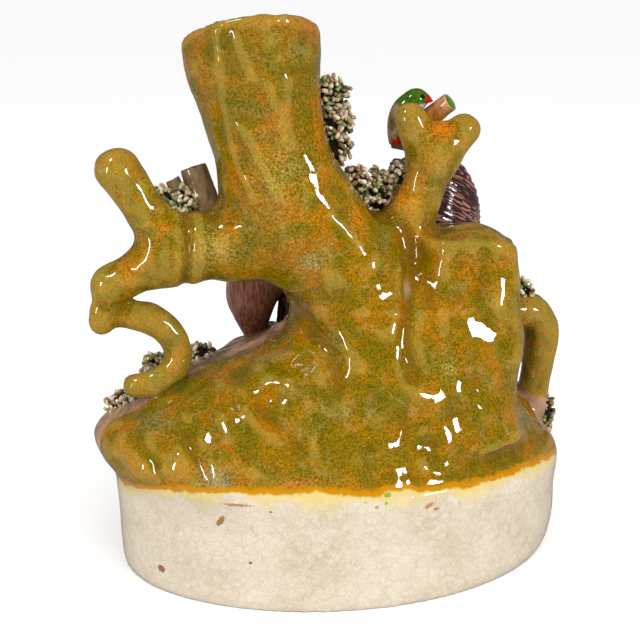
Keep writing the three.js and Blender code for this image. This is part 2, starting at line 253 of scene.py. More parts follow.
# Plinth, mound and rock, level by level: z, left, right, back, front, power, turn, slant.
PLINTH_LEVELS = [
    (0, -120, 123.5, -88.6, 95.5, 1.95, 5.5, 0),
    (4, -121.2, 126.5, -89.4, 96.7, 1.95, 5.5, 0),
    (12, -122, 129.4, -89.2, 97.3, 1.94, 5.5, 0),
    (34, -123, 130.6, -89.6, 98.0, 1.93, 5.5, 0),
    (56, -124, 130.8, -89.9, 98.4, 1.92, 5.5, 0),
    (62, -123.5, 127, -89.5, 97, 1.95, 5.5, 0),
]
MOUND_LEVELS = [
    (46, -120, 128, -88, 94, 2, 5.5, 0),
    (54, -124, 129.5, -89.9, 97, 2, 5.5, 0),
    (60, -128, 125.5, -89.2, 97, 2.05, 5.5, 0),
    (68, -133.5, 119, -87, 96, 2.1, 5, 0.05),
    (77, -134.5, 112, -83, 93, 2.15, 4, 0.2),
    (85, -128, 105, -78, 90, 2.2, 3, 0.3),
    (93, -113, 99, -74, 86, 2.3, 2, 0.42),
    (103, -92, 95, -69, 82, 2.4, 1, 0.45),
    (113, -72, 94, -63, 77, 2.5, 0, 0.48),
    (124, -45, 93, -58, 71, 2.6, 0, 0.5),
    (134, -28, 92, -54, 63, 2.6, 0, 0.7),
    (139, -22, 90, -52, 42, 2.6, 0, 0.6),
    (146, -14, 88, -49, 16, 2.6, 0, 0),
]
ROCK_LEVELS = [
    (76, 30, 98, -66, 16, 3.0, -4, 0),
    (104, 34, 95, -58, 16, 3.0, -4, 0),
    (122, 36, 99.5, -54, 16, 3.0, -4, 0),
    (145, 38, 97.5, -50, 15, 3.0, -4, 0),
    (165, 40, 95.5, -46, 13, 3.0, -4, 0),
    (185, 42, 95, -43, 11, 3.0, -4, 0),
]

# Trunk and its well, level by level: z, x, y, half width, half depth, tilt towards the slanted mouth.
MOUTH_Z, MOUTH_X, MOUTH_Y = 291.3, -46.4, -8.0
MOUTH_SLOPE_X, MOUTH_SLOPE_Y = 0.06, -0.38
TRUNK_LEVELS = [
    (84, 34, -14, 60, 50, 0),
    (122, 28, -12, 52, 43, 0),
    (152, 14, -11, 44, 38, 0),
    (172, -5, -9, 43, 36, 0.1),
    (190, -19, -8, 42, 35, 0.2),
    (208, -28, -8, 36, 33, 0.35),
    (226, -34.5, -8, 31.5, 31, 0.5),
    (242, -39.5, -8, 31.8, 31, 0.65),
    (258, -43, -8, 33.2, 32, 0.8),
    (273, -45.4, -8, 35.7, 33.5, 1),
    (287, -46.4, -8, 36.8, 34, 1),
    (306, -46.4, -8, 37, 34, 1),
]
WELL_LEVELS = [
    (150, -11, -9, 5, 5, 0),
    (156, -13, -9, 15, 15, 0.05),
    (168, -18, -9, 21, 21, 0.1),
    (190, -26, -8, 23.5, 23, 0.2),
    (226, -35, -8, 24.5, 23.5, 0.5),
    (258, -43.5, -8, 26.5, 24.5, 0.8),
    (279, -46.5, -8, 29.3, 26.5, 1),
    (312, -46.4, -8, 30.5, 27.5, 1),
]


def stack(clay, levels):
    """Leaning stack of ovals. A point belongs to the level whose tilted oval passes through it."""
    levels = np.array(levels, float)
    wide = levels[:, 3].max()
    cut, (x, y, z) = clay.window([levels[:, 1].min() - wide, levels[:, 2].min() - wide, levels[0, 0]],
                                 [levels[:, 1].max() + wide, levels[:, 2].max() + wide, levels[-1, 0]])
    level = z + 0 * x * y
    for _ in range(3):
        shift_x = MOUTH_SLOPE_X * (x - np.interp(level, levels[:, 0], levels[:, 1]))
        shift_y = MOUTH_SLOPE_Y * (y - np.interp(level, levels[:, 0], levels[:, 2]))
        level = z - np.interp(level, levels[:, 0], levels[:, 5]) * (shift_x + shift_y)
    ring = through(levels[:, 0], levels[:, 1:5], level.ravel()).reshape(level.shape + (4,))
    out = np.sqrt(((x - ring[..., 0]) / ring[..., 2])**2 + ((y - ring[..., 1]) / ring[..., 3])**2)
    part = clay.true_distance((out - 1) * np.minimum(ring[..., 2], ring[..., 3]))
    return np.maximum(part, levels[0, 0] - level), cut


def model_body(step=1.8):
    """The body's clay: the blocks first, then the trunk, the limbs luted on, and the well cut out last."""
    clay = Clay((-146, -102, -7), (150, 108, 314), step)
    for levels, blend in ((PLINTH_LEVELS, 1), (MOUND_LEVELS, 3)):
        part, cut = clay.block(levels)
        clay.join(part, cut, blend)
    part, cut = clay.block(ROCK_LEVELS)
    x, _, z = clay.window((ROCK_LEVELS[0][1], -66, 76), (99.5, 16, 185))[1]
    clay.join(np.maximum(part, (z - 184 + 0.3 * np.maximum(x - 76, 0)) * 0.96), cut, 9)
    clay.ball((72, -20, 179), (17, 20, 9), 8)
    part, cut = stack(clay, TRUNK_LEVELS)
    clay.join(part, cut, 12)
    y = -8
    clay.limb([(-20, y, 186.5, 23.5), (-50, y, 181, 21), (-72, y, 179.5, 18.5), (-92, y, 177, 16)], 10)
    clay.limb([(-84, y, 182, 14), (-97, y, 192, 12.5), (-108, y, 207, 11.4), (-117.5, y, 222, 11.8)], 8)
    clay.limb([(-84, y, 176.5, 14), (-103, y, 170, 12), (-122, y, 161, 10.5)], 8)
    clay.limb([(-122.4, y, 160, 9.8), (-125.8, y, 150, 7), (-128.2, y, 141, 7.2)], 4)
    clay.ball((-74, 4, 186), (20, 14, 11), 6)
    clay.limb([(-126, y, 146, 7.5), (-113, y, 144, 8), (-100, y, 139.5, 8), (-91.5, y, 131, 7.8), (-88.5, -9, 121, 7.6),
               (-92.5, -10, 111, 7.6), (-102, -10, 105.5, 7.4), (-112, -10, 104.5, 6.8)], 2.5, spans=28)
    clay.limb([(26, y, 168, 19), (36, y, 186, 15.5), (45, y, 203, 12.5), (51, y, 220, 12.2), (53, y, 230, 12)], 8)
    clay.limb([(50, y, 222, 11), (43, y, 236, 9.5), (39.5, y, 245, 8.5)], 6)
    clay.limb([(52, y, 221, 10), (60, y, 230, 10.5), (68.5, y, 238.5, 9)], 6)
    clay.ball((55, y, 233), (11, 10, 9), 4)
    clay.limb([(84, 8, 130, 15), (102, 10, 131, 12), (116, 12, 130, 10.8), (123, 12, 119, 10.2), (123, 12, 106, 9.4),
               (121, 12, 90, 8.8), (119, 12, 72, 8.8)], 6, depth=1.1, spans=24)
    cut, (x, y, z) = clay.window((-90, -50, 270), (-4, 34, 312))
    above = z - MOUTH_Z - MOUTH_SLOPE_X * (x - MOUTH_X) - MOUTH_SLOPE_Y * (y - MOUTH_Y)
    clay.cut_away(-above * 0.93, cut, 5)
    part, cut = stack(clay, WELL_LEVELS)
    clay.cut_away(part, cut, 5)
    return clay.skin()


# Places on the modelled back, as x and z: bosses with a radius and a height, and strokes of a tool or thumb
# with a width and a height. A height below zero is pressed in.
BOSSES = [
    (52, 108, 9, 2.2), (63, 122, 8, 1.8), (41, 97, 8, 2.0), (33, 90, 6, 1.6), (46, 83, 8, 2.0), (66, 96, 7, 1.2),
    (58, 140, 12, 1.2), (82, 150, 10, 1.0), (60, 84, 8, 1.4), (76, 112, 9, 1.2), (30, 112, 9, 1.4),
    (-59, 101, 8, 2.0), (-70, 96, 6, 1.6), (-38, 114, 8, 1.8), (-80, 90, 7, 1.6), (-94, 82, 6, 1.4),
    (-57, 116, 7, -1.6), (-106, 89, 8, 1.4), (-120, 83, 7, 1.2), (-80, 103, 8, -1.2), (-47, 92, 8, 1.2),
    (-66, 83, 7, 1.4), (-30, 98, 8, 1.2), (-98, 74, 6, 1.3), (-112, 72, 7, 1.0), (-20, 84, 9, 0.8),
    (11, 174, 11, 1.8), (22, 186, 7, 1.5), (-9, 168, 8, 1.4), (-72, 182, 9, 1.2), (-62, 188, 7, 1.0),
    (-78, 289, 13, -2.6), (5, 150, 12, 1.2), (54, 236, 8, -1.0),
]
STROKES = [
    ([(-82, 206), (-83, 184), (-84, 160)], 2.0, -2.4),
    ([(-76, 204), (-77, 184), (-78, 164)], 4.5, 1.0),
    ([(-27, 150), (-18, 139), (-12, 130), (-9, 116)], 6, -2.8),
    ([(-16, 150), (-4, 138), (3, 124)], 7, 1.6),
    ([(33, 188), (35, 172), (31, 155), (27, 136), (30, 118)], 4.5, -3.2),
    ([(52, 178), (50, 158), (47, 140)], 5, 1.4),
    ([(72, 182), (70, 160), (74, 140)], 5, -1.2),
    ([(90, 176), (88, 150), (90, 120)], 5, 1.0),
    ([(-68, 294), (-64, 260), (-59.7, 240), (-55.4, 223), (-49, 208)], 2.6, 1.3),
    ([(-58.5, 292), (-50.7, 273), (-41.7, 267), (-38, 256)], 2.2, 1.1),
    ([(-62, 294), (-57, 270), (-52, 250)], 4.0, -0.9),
    ([(-55.5, 247), (-49, 236), (-45, 226), (-38.5, 212)], 2.6, 1.2),
    ([(-32, 269), (-33, 250), (-30, 238)], 4.5, 1.2),
    ([(-44, 250), (-38, 232), (-30, 214)], 5, -0.9),
    ([(-20, 280), (-18, 250), (-16, 225)], 5, 0.7),
    ([(-10, 200), (-3, 193), (5, 183)], 3, 1.2),
    ([(-88, 96), (-70, 104), (-48, 116)], 5, 1.4),
    ([(-100, 86), (-84, 94), (-62, 106)], 4, -1.2),
    ([(-52, 104), (-40, 96), (-32, 88)], 4, -1.2),
    ([(-110, 80), (-104, 72), (-100, 66)], 4, -1.3),
    ([(-90, 92), (-84, 80), (-80, 70)], 4, -1.2),
    ([(24, 100), (20, 84), (24, 70)], 6, -1.4),
    ([(84, 132), (80, 104), (84, 80)], 6, -1.2),
]
# Height of the mound's and rock's top above the datum, by x: limbs lie above it.
CREST = [(-140, 84), (-110, 96), (-82, 108), (-55, 120), (-32, 133), (-22, 146), (0, 158), (34, 182), (98, 186),
         (104, 90), (140, 70)]


def stroke_distance(x, z, path):
    """Distance in the x and z plane to the nearest of a path's straight stretches."""
    best = np.full(len(x), 1e3)
    for (ax, az), (bx, bz) in zip(path[:-1], path[1:]):
        dx, dz = bx - ax, bz - az
        t = np.clip(((x - ax) * dx + (z - az) * dz) / (dx * dx + dz * dz), 0, 1)
        best = np.minimum(best, np.hypot(x - ax - t * dx, z - az - t * dz))
    return best


def body_relief(points, faces):
    """Height of the hand modelling along the normals: bosses and strokes on the back as bell curves, lumps on the
    mound and rock, and long soft facets on the limbs, both from eased random values."""
    normals = point_normals(points, faces)
    x, y, z = points.T
    back = ease(-normals[:, 1], -0.15, 0.35) * ease(-y, -10, 4)
    height = np.zeros(len(points))
    for boss_x, boss_z, radius, lift in BOSSES:
        height += lift * np.exp(-((x - boss_x)**2 + (z - boss_z)**2) / radius**2) * back
    for path, width, lift in STROKES:
        height += lift * np.exp(-(stroke_distance(x, z, path) / width)**2) * back
    limb = ease(z - np.interp(x, *np.array(CREST).T), -6, 10)
    mound = (1 - limb) * ease(z, 62, 74)
    bumpy = 0.9 * wander(points, 22, 3) + 0.8 * wander(points, 10, 4, 1)
    long = 0.8 * wander(points * [1, 1, 0.25], 13, 5) + 0.25 * wander(points, 8, 6)
    inside = well_share(points)
    return (height + mound * bumpy + limb * long * (1 - 0.8 * inside) + 0.12 * wander(points, 30, 8)), normals


def well_share(points):
    """1 on the wall of the well and 0 on the outside, from the place between the trunk's axis and its skin."""
    x, y, z = points.T
    levels = np.array(TRUNK_LEVELS, float)
    level = z - np.interp(z, levels[:, 0], levels[:, 5]) * (MOUTH_SLOPE_X * (x - MOUTH_X) + MOUTH_SLOPE_Y * (y + 8))
    ring = through(levels[:, 0], levels[:, 1:5], level)
    out = np.sqrt(((x - ring[:, 0]) / ring[:, 2])**2 + ((y - ring[:, 1]) / ring[:, 3])**2)
    return (1 - ease(out, 0.84, 0.94)) * ease(z, 140, 150) * (np.abs(x - ring[:, 0]) < 40)


body_points, body_faces = model_body()
relief, body_normals = body_relief(body_points, body_faces)
body_points += body_normals * relief[:, None]
body_points[:, 2] = np.maximum(body_points[:, 2], 0)
body_normals = point_normals(body_points, body_faces)

def paint(red, green, blue):
    """Screen colour, 0 to 255, as linear light with alpha."""
    values = np.array([red, green, blue]) / 255
    return (*np.where(values < 0.04045, values / 12.92, ((values + 0.055) / 1.055)**2.4), 1.0)


# Height of the glaze's lower edge round the plinth, by compass angle from its middle in degrees.
GLAZE_EDGE = [(-180, 54), (-166, 55), (-153, 62), (-138, 66.5), (-125, 68), (-105, 66.5), (-80, 65), (-65, 62.5),
              (-50, 61), (-30, 60), (-15, 56), (0, 48), (40, 50), (90, 54), (135, 56), (180, 54)]
# Front edge of the back's glaze on the mound, as x and y.
GROUND_EDGE = [(-125, -13), (-99, -15), (-82, -10.5), (-55, -10), (-32, -8), (0, 8), (95, 12), (110, 6), (118, 1),
               (126, -8)]


def body_masks(points, faces, normals):
    """Where each glaze lies: height over the glaze's edge in mm, share of painted ground, share of well, and how
    far the skin is hollowed, as the side on which each point's neighbours lie."""
    x, y, z = points.T
    angle = np.degrees(np.arctan2(y - DATUM[1], x - DATUM[0]))
    above = z - np.interp(angle, *np.array(GLAZE_EDGE, float).T)
    limb = ease(z - np.interp(x, *np.array(CREST).T), -2, 6)
    on_mound = y - np.interp(x, *np.array(GROUND_EDGE, float).T)
    on_limb = 14 * (normals[:, 1] - 0.35) + 0.8 * np.maximum(y - 1, -4) * np.maximum(normals[:, 2], 0)
    # Painted dabs of glaze colour, and one painted highlight among them.
    dabs_and_highlight = np.zeros((len(points), 4))
    for dab_x, dab_y, dab_z, wide, high, strength, colour in DABS_AND_HIGHLIGHT:
        away = ((x - dab_x) / wide)**2 + ((z - dab_z) / high)**2 + ((y - dab_y) / 16)**2
        share = 0.85 * strength * np.exp(-away)
        dabs_and_highlight[:, :3] = dabs_and_highlight[:, :3] * (1 - share / np.maximum(dabs_and_highlight[:, 3] + share, 1e-6))[:, None] + np.array(
            paint(*colour)[:3]) * (share / np.maximum(dabs_and_highlight[:, 3] + share, 1e-6))[:, None]
        dabs_and_highlight[:, 3] = np.maximum(dabs_and_highlight[:, 3], share)
    inward = ((neighbour_mean(points, faces) - points) * normals).sum(1)
    for _ in range(3):
        inward = neighbour_mean(inward, faces)
    return {"above_edge": above, "painted_side": on_mound * (1 - limb) + on_limb * limb,
            "well": well_share(points), "hollow": np.clip(inward * 18, -1, 1), "dabs_and_highlight": dabs_and_highlight}


def nodes_for(tree):
    """Maker of nodes in one tree: inputs are sockets to link or plain values, the rest are settings."""
    def make(kind, inputs=(), **settings):
        made = tree.nodes.new("ShaderNode" + kind)
        for name, value in settings.items():
            setattr(made, name, value)
        for name, value in dict(inputs).items():
            if isinstance(value, bpy.types.NodeSocket):
                tree.links.new(value, made.inputs[name])
            else:
                made.inputs[name].default_value = value
        return made
    make.tree = tree
    return make


def number(make, operation, *values):
    """Result of a Math node."""
    return make("Math", dict(enumerate(values)), operation=operation).outputs[0]


def spread(make, value, low, high, start=0.0, end=1.0):
    """A value eased from one range to another."""
    return make("MapRange", {"Value": value, "From Min": low, "From Max": high, "To Min": start, "To Max": end},
                interpolation_type="SMOOTHSTEP").outputs["Result"]


def noise(make, vector, size, detail=2.0, rough=0.5, bend=0.0):
    """Noise whose lumps have a given size in the vector's units."""
    return make("TexNoise", {"Vector": vector, "Scale": 1 / size, "Detail": detail, "Roughness": rough,
                             "Distortion": bend}).outputs["Fac"]


def blend_paint(make, under, over, share, kind="MIX"):
    """One colour laid over another by a share."""
    made = make("Mix", data_type="RGBA", blend_type=kind)
    for place, value in ((0, share), (6, under), (7, over)):
        if isinstance(value, bpy.types.NodeSocket):
            make.tree.links.new(value, made.inputs[place])
        else:
            made.inputs[place].default_value = value
    return made.outputs[2]


def colours(make, share, stops):
    """Colour from a row of (place, paint) stops."""
    made = make("ValToRGB", {"Fac": share})
    row = made.color_ramp.elements
    while len(row) < len(stops):
        row.new(1.0)
    for element, (place, colour) in zip(row, stops):
        element.position, element.color = place, colour
    return made.outputs["Color"]


def effect(name, inputs, outputs):
    """New node group with named inputs, each a kind and a value, and named outputs, each a kind."""
    tree = bpy.data.node_groups.new(name, "ShaderNodeTree")
    for socket, (kind, value) in inputs.items():
        made = tree.interface.new_socket(socket, in_out="INPUT", socket_type="NodeSocket" + kind)
        if kind != "Vector" or value is not None:
            made.default_value = value
    for socket, kind in outputs.items():
        tree.interface.new_socket(socket, in_out="OUTPUT", socket_type="NodeSocket" + kind)
    make = nodes_for(tree)
    start, end = tree.nodes.new("NodeGroupInput"), tree.nodes.new("NodeGroupOutput")
    return tree, make, start.outputs, end.inputs


def use(make, group, inputs):
    """A group placed in a material with its own values."""
    made = make.tree.nodes.new("ShaderNodeGroup")
    made.node_tree = group
    for name, value in inputs.items():
        if isinstance(value, bpy.types.NodeSocket):
            make.tree.links.new(value, made.inputs[name])
        else:
            made.inputs[name].default_value = value
    return made.outputs


def sponge_group():
    """Sponged glaze: clouds of three sizes, a hue that drifts apart from them, and the sponge's fine grain."""
    group, make, given, result = effect(
        "Sponged clouds", {"Vector": ("Vector", (0, 0, 0)), "Cloud Size": ("Float", 20.0), "Grain Size": ("Float", 1.2)},
        {"Clouds": "Float", "Hue": "Float", "Veil": "Float", "Grain": "Float"})
    link = group.links.new
    scaled = {}
    for key, socket in (("cloud", "Cloud Size"), ("grain", "Grain Size")):
        turned = number(make, "DIVIDE", 1.0, given[socket])
        scaled[key] = make("VectorMath", {0: given["Vector"], "Scale": turned}, operation="SCALE").outputs[0]
    shifted = make("VectorMath", {0: scaled["cloud"], 1: (31.0, 7.0, 13.0)}, operation="ADD").outputs[0]
    apart = make("VectorMath", {0: scaled["cloud"], 1: (-17.0, 41.0, 5.0)}, operation="ADD").outputs[0]
    clouds = noise(make, scaled["cloud"], 1.0, 4.0, 0.62, 0.6)
    hue = noise(make, shifted, 1.5, 3.0, 0.6, 0.8)
    veil = noise(make, apart, 1.0, 3.0, 0.65, 1.0)
    fine = noise(make, scaled["grain"], 1.0, 3.0, 0.7, 0.4)
    link(spread(make, clouds, 0.28, 0.72), result["Clouds"])
    link(spread(make, hue, 0.3, 0.7), result["Hue"])
    link(spread(make, veil, 0.5, 0.75), result["Veil"])
    link(spread(make, fine, 0.3, 0.7), result["Grain"])
    return group


def crackle_group():
    """Crackled glaze: lines between the cells of two nested Voronoi patterns, and a faint tone for each cell."""
    group, make, given, result = effect(
        "Crackled glaze", {"Vector": ("Vector", (0, 0, 0)), "Cell Size": ("Float", 3.5), "Line": ("Float", 0.04)},
        {"Lines": "Float", "Tone": "Float"})
    link = group.links.new
    turned = number(make, "DIVIDE", 1.0, given["Cell Size"])
    place = make("VectorMath", {0: given["Vector"], "Scale": turned}, operation="SCALE").outputs[0]
    bent = make("TexNoise", {"Vector": place, "Scale": 1.3, "Detail": 2.0}).outputs["Color"]
    place = make("VectorMath", {0: bent, 1: (0.35, 0.35, 0.35), 2: place}, operation="MULTIPLY_ADD").outputs[0]
    edge = make("TexVoronoi", {"Vector": place, "Scale": 1.0}, feature="DISTANCE_TO_EDGE").outputs["Distance"]
    wide = make("TexVoronoi", {"Vector": place, "Scale": 0.42}, feature="DISTANCE_TO_EDGE").outputs["Distance"]
    cells = make("TexVoronoi", {"Vector": place, "Scale": 1.0}, feature="F1")
    small_lines = number(make, "LESS_THAN", edge, given["Line"])
    big_lines = number(make, "LESS_THAN", wide, number(make, "MULTIPLY", given["Line"], 0.5))
    patch = spread(make, noise(make, place, 7.0, 2.0), 0.38, 0.6)
    fading = number(make, "MULTIPLY", small_lines, number(make, "MULTIPLY_ADD", patch, 0.6, 0.4))
    link(number(make, "MAXIMUM", fading, big_lines), result["Lines"])
    tone = make("SeparateColor", {"Color": cells.outputs["Color"]}).outputs[0]
    link(tone, result["Tone"])
    return group


def dab_group():
    """Small chip or spot: a turned ellipsoid round a place, its rim broken by a given noise."""
    group, make, given, result = effect(
        "Small chip", {"Vector": ("Vector", (0, 0, 0)), "Place": ("Vector", (0, 0, 0)),
                       "Half Size": ("Vector", (5, 5, 5)), "Tilt": ("Float", 0.0), "Ragged": ("Float", 0.5)},
        {"Mask": "Float"})
    away = make("VectorMath", {0: given["Vector"], 1: given["Place"]}, operation="SUBTRACT").outputs[0]
    away = make("VectorRotate", {"Vector": away, "Angle": given["Tilt"]}, rotation_type="Y_AXIS").outputs[0]
    scaled = make("VectorMath", {0: away, 1: given["Half Size"]}, operation="DIVIDE").outputs[0]
    length = make("VectorMath", {0: scaled}, operation="LENGTH").outputs["Value"]
    broken = number(make, "MULTIPLY_ADD", given["Ragged"], 1.6, length)
    group.links.new(spread(make, broken, 1.62, 1.86, 1.0, 0.0), result["Mask"])
    return group


def ripple_group():
    """Thick glaze's uneven skin: a slow swell and a finer orange peel, as a bump in millimetres."""
    group, make, given, result = effect(
        "Glaze ripple", {"Vector": ("Vector", (0, 0, 0)), "Swell": ("Float", 1.0), "Peel": ("Float", 1.0),
                         "Sunk": ("Float", 0.0)},
        {"Normal": "Vector"})
    link = group.links.new
    swell = number(make, "MULTIPLY", noise(make, given["Vector"], 4.5, 1.0), given["Swell"])
    peel = number(make, "MULTIPLY", noise(make, given["Vector"], 1.1, 2.0), number(make, "MULTIPLY", given["Peel"], 0.12))
    height = number(make, "SUBTRACT", number(make, "ADD", swell, peel), given["Sunk"])
    link(make("Bump", {"Height": height, "Strength": 0.5, "Distance": 0.0009}).outputs["Normal"], result["Normal"])
    return group


sponge, crackle, dab, ripple = sponge_group(), crackle_group(), dab_group(), ripple_group()


def glazed_material(name):
    """New material with a glossy lead glaze over it, its maker of nodes, its surface, and its place in mm."""
    material = bpy.data.materials.new(name)
    material.use_nodes = True
    make = nodes_for(material.node_tree)
    surface = material.node_tree.nodes["Principled BSDF"].inputs
    surface["Roughness"].default_value = 0.5
    surface["Specular IOR Level"].default_value = 0.0
    surface["Coat Weight"].default_value = 1.0
    surface["Coat Roughness"].default_value = 0.03
    surface["Coat IOR"].default_value = 1.5
    place = make("VectorMath", {0: make("TexCoord").outputs["Object"], "Scale": 1000.0}, operation="SCALE").outputs[0]
    return material, make, material.node_tree.links.new, surface, place


def mask_of(make, name):
    """A mask that the mesh carries."""
    return make("Attribute", attribute_name=name).outputs["Fac"]


# Painted dabs on the back's glaze, one of them a painted highlight: x, y, z, half width, half height, strength, paint.
DABS_AND_HIGHLIGHT = [
    (-20, -31, 297, 10, 6, 1.0, (170, 22, 8)),
    (-36, -38, 299, 19, 4, 0.8, (205, 96, 16)),
    (54, -17, 240, 8.5, 6.5, 1.0, (200, 108, 18)),
    (34, -16, 203, 6, 9, 0.9, (214, 128, 14)),
    (6, -35, 196, 6, 16, 0.8, (204, 120, 8)),
    (52, -20, 213, 2.5, 3, 0.9, (44, 90, 20)),
    (-101, -13, 215, 7, 5, 0.8, (186, 156, 20)),
    (-76, -76, 73, 9, 5.5, 0.9, (140, 142, 110)),
    (-88, -14, 105, 12, 4, 0.8, (40, 96, 36)),
    (-15, -29, 243, 4, 22, 0.6, (192, 104, 8)),
    (-60, -25, 196, 5, 12, 0.6, (184, 92, 8)),
    (-44, -38, 262, 7, 9, 0.4, (186, 96, 12)),
    (-62, -37, 279, 6, 8, 0.7, (86, 92, 22)),
    (-70, -30, 284, 9, 8, 0.5, (84, 88, 24)),
    (-46, -39, 296, 12, 5, 0.4, (90, 100, 34)),
    (-68, -27, 184, 14, 9, 0.6, (168, 152, 78)),
    (-36, -42, 222, 15, 20, 0.55, (172, 154, 74)),
    (-24, -38, 296, 14, 9, 0.4, (128, 112, 64)),
    (20, -30, 184, 4, 8, 0.5, (110, 122, 72)),
    # A painted highlight: pale grey-green where the trunk meets the arm.
    (-21, -43, 177, 7, 4.5, 0.8, (146, 152, 104)),
    (62, -44, 172, 7, 9, 0.7, (192, 108, 10)),
    (-34, -86, 71, 14, 3.5, 0.9, (190, 116, 48)),
    (58, -62, 128, 5, 7, 0.6, (200, 104, 8)),
    (50, -60, 121, 5, 7, 0.5, (180, 170, 90)),
    (-14, -45, 150, 12, 8, 0.35, (176, 100, 6)),
    (-104, -40, 93, 12, 6, 0.5, (138, 128, 92)),
    (-95, -48, 84, 8, 6, 0.4, (176, 92, 10)),
    (16, -60, 104, 16, 9, 0.35, (90, 82, 8)),
    (-20, -62, 100, 14, 12, 0.35, (110, 92, 4)),
    (72, -55, 130, 12, 9, 0.35, (96, 88, 10)),
]
CHIPS = [
    (-64.5, -79, 60, 8.5, 5, 1.0, 0.02, (150, 112, 70)),
    (-73.6, -73.5, 49, 1.6, 5, 3.6, -0.5, (128, 82, 44)),
    (-103, -48, 13.5, 2.0, 5, 2.2, 0.3, (120, 72, 36)),
    (34, -89, 55.5, 3.8, 5, 1.4, 0.3, (150, 104, 60)),
    (37.5, -89, 53, 2.2, 5, 1.2, 0.0, (140, 92, 50)),
    (52, -86, 52.5, 2.0, 5, 1.7, -0.4, (132, 84, 46)),
    (38, -89, 24, 1.0, 5, 1.9, 0.3, (120, 74, 40)),
    (-59, -78, 27, 0.9, 5, 0.8, 0.0, (110, 74, 40)),
    (-49, -84, 57, 0.9, 5, 0.6, 0.0, (120, 76, 40)),
    (71, -77, 44, 0.8, 5, 0.7, 0.0, (110, 84, 60)),
    (5, -90, 58, 1.2, 5, 0.8, 0.0, (120, 150, 20)),
    (10, -90, 59.5, 1.1, 5, 0.8, 0.0, (110, 150, 20)),
    (-1, -90, 61, 1.0, 5, 0.7, 0.0, (150, 170, 40)),
    (11, -90, 63.5, 2.2, 5, 1.4, 0.0, (110, 140, 20)),
]


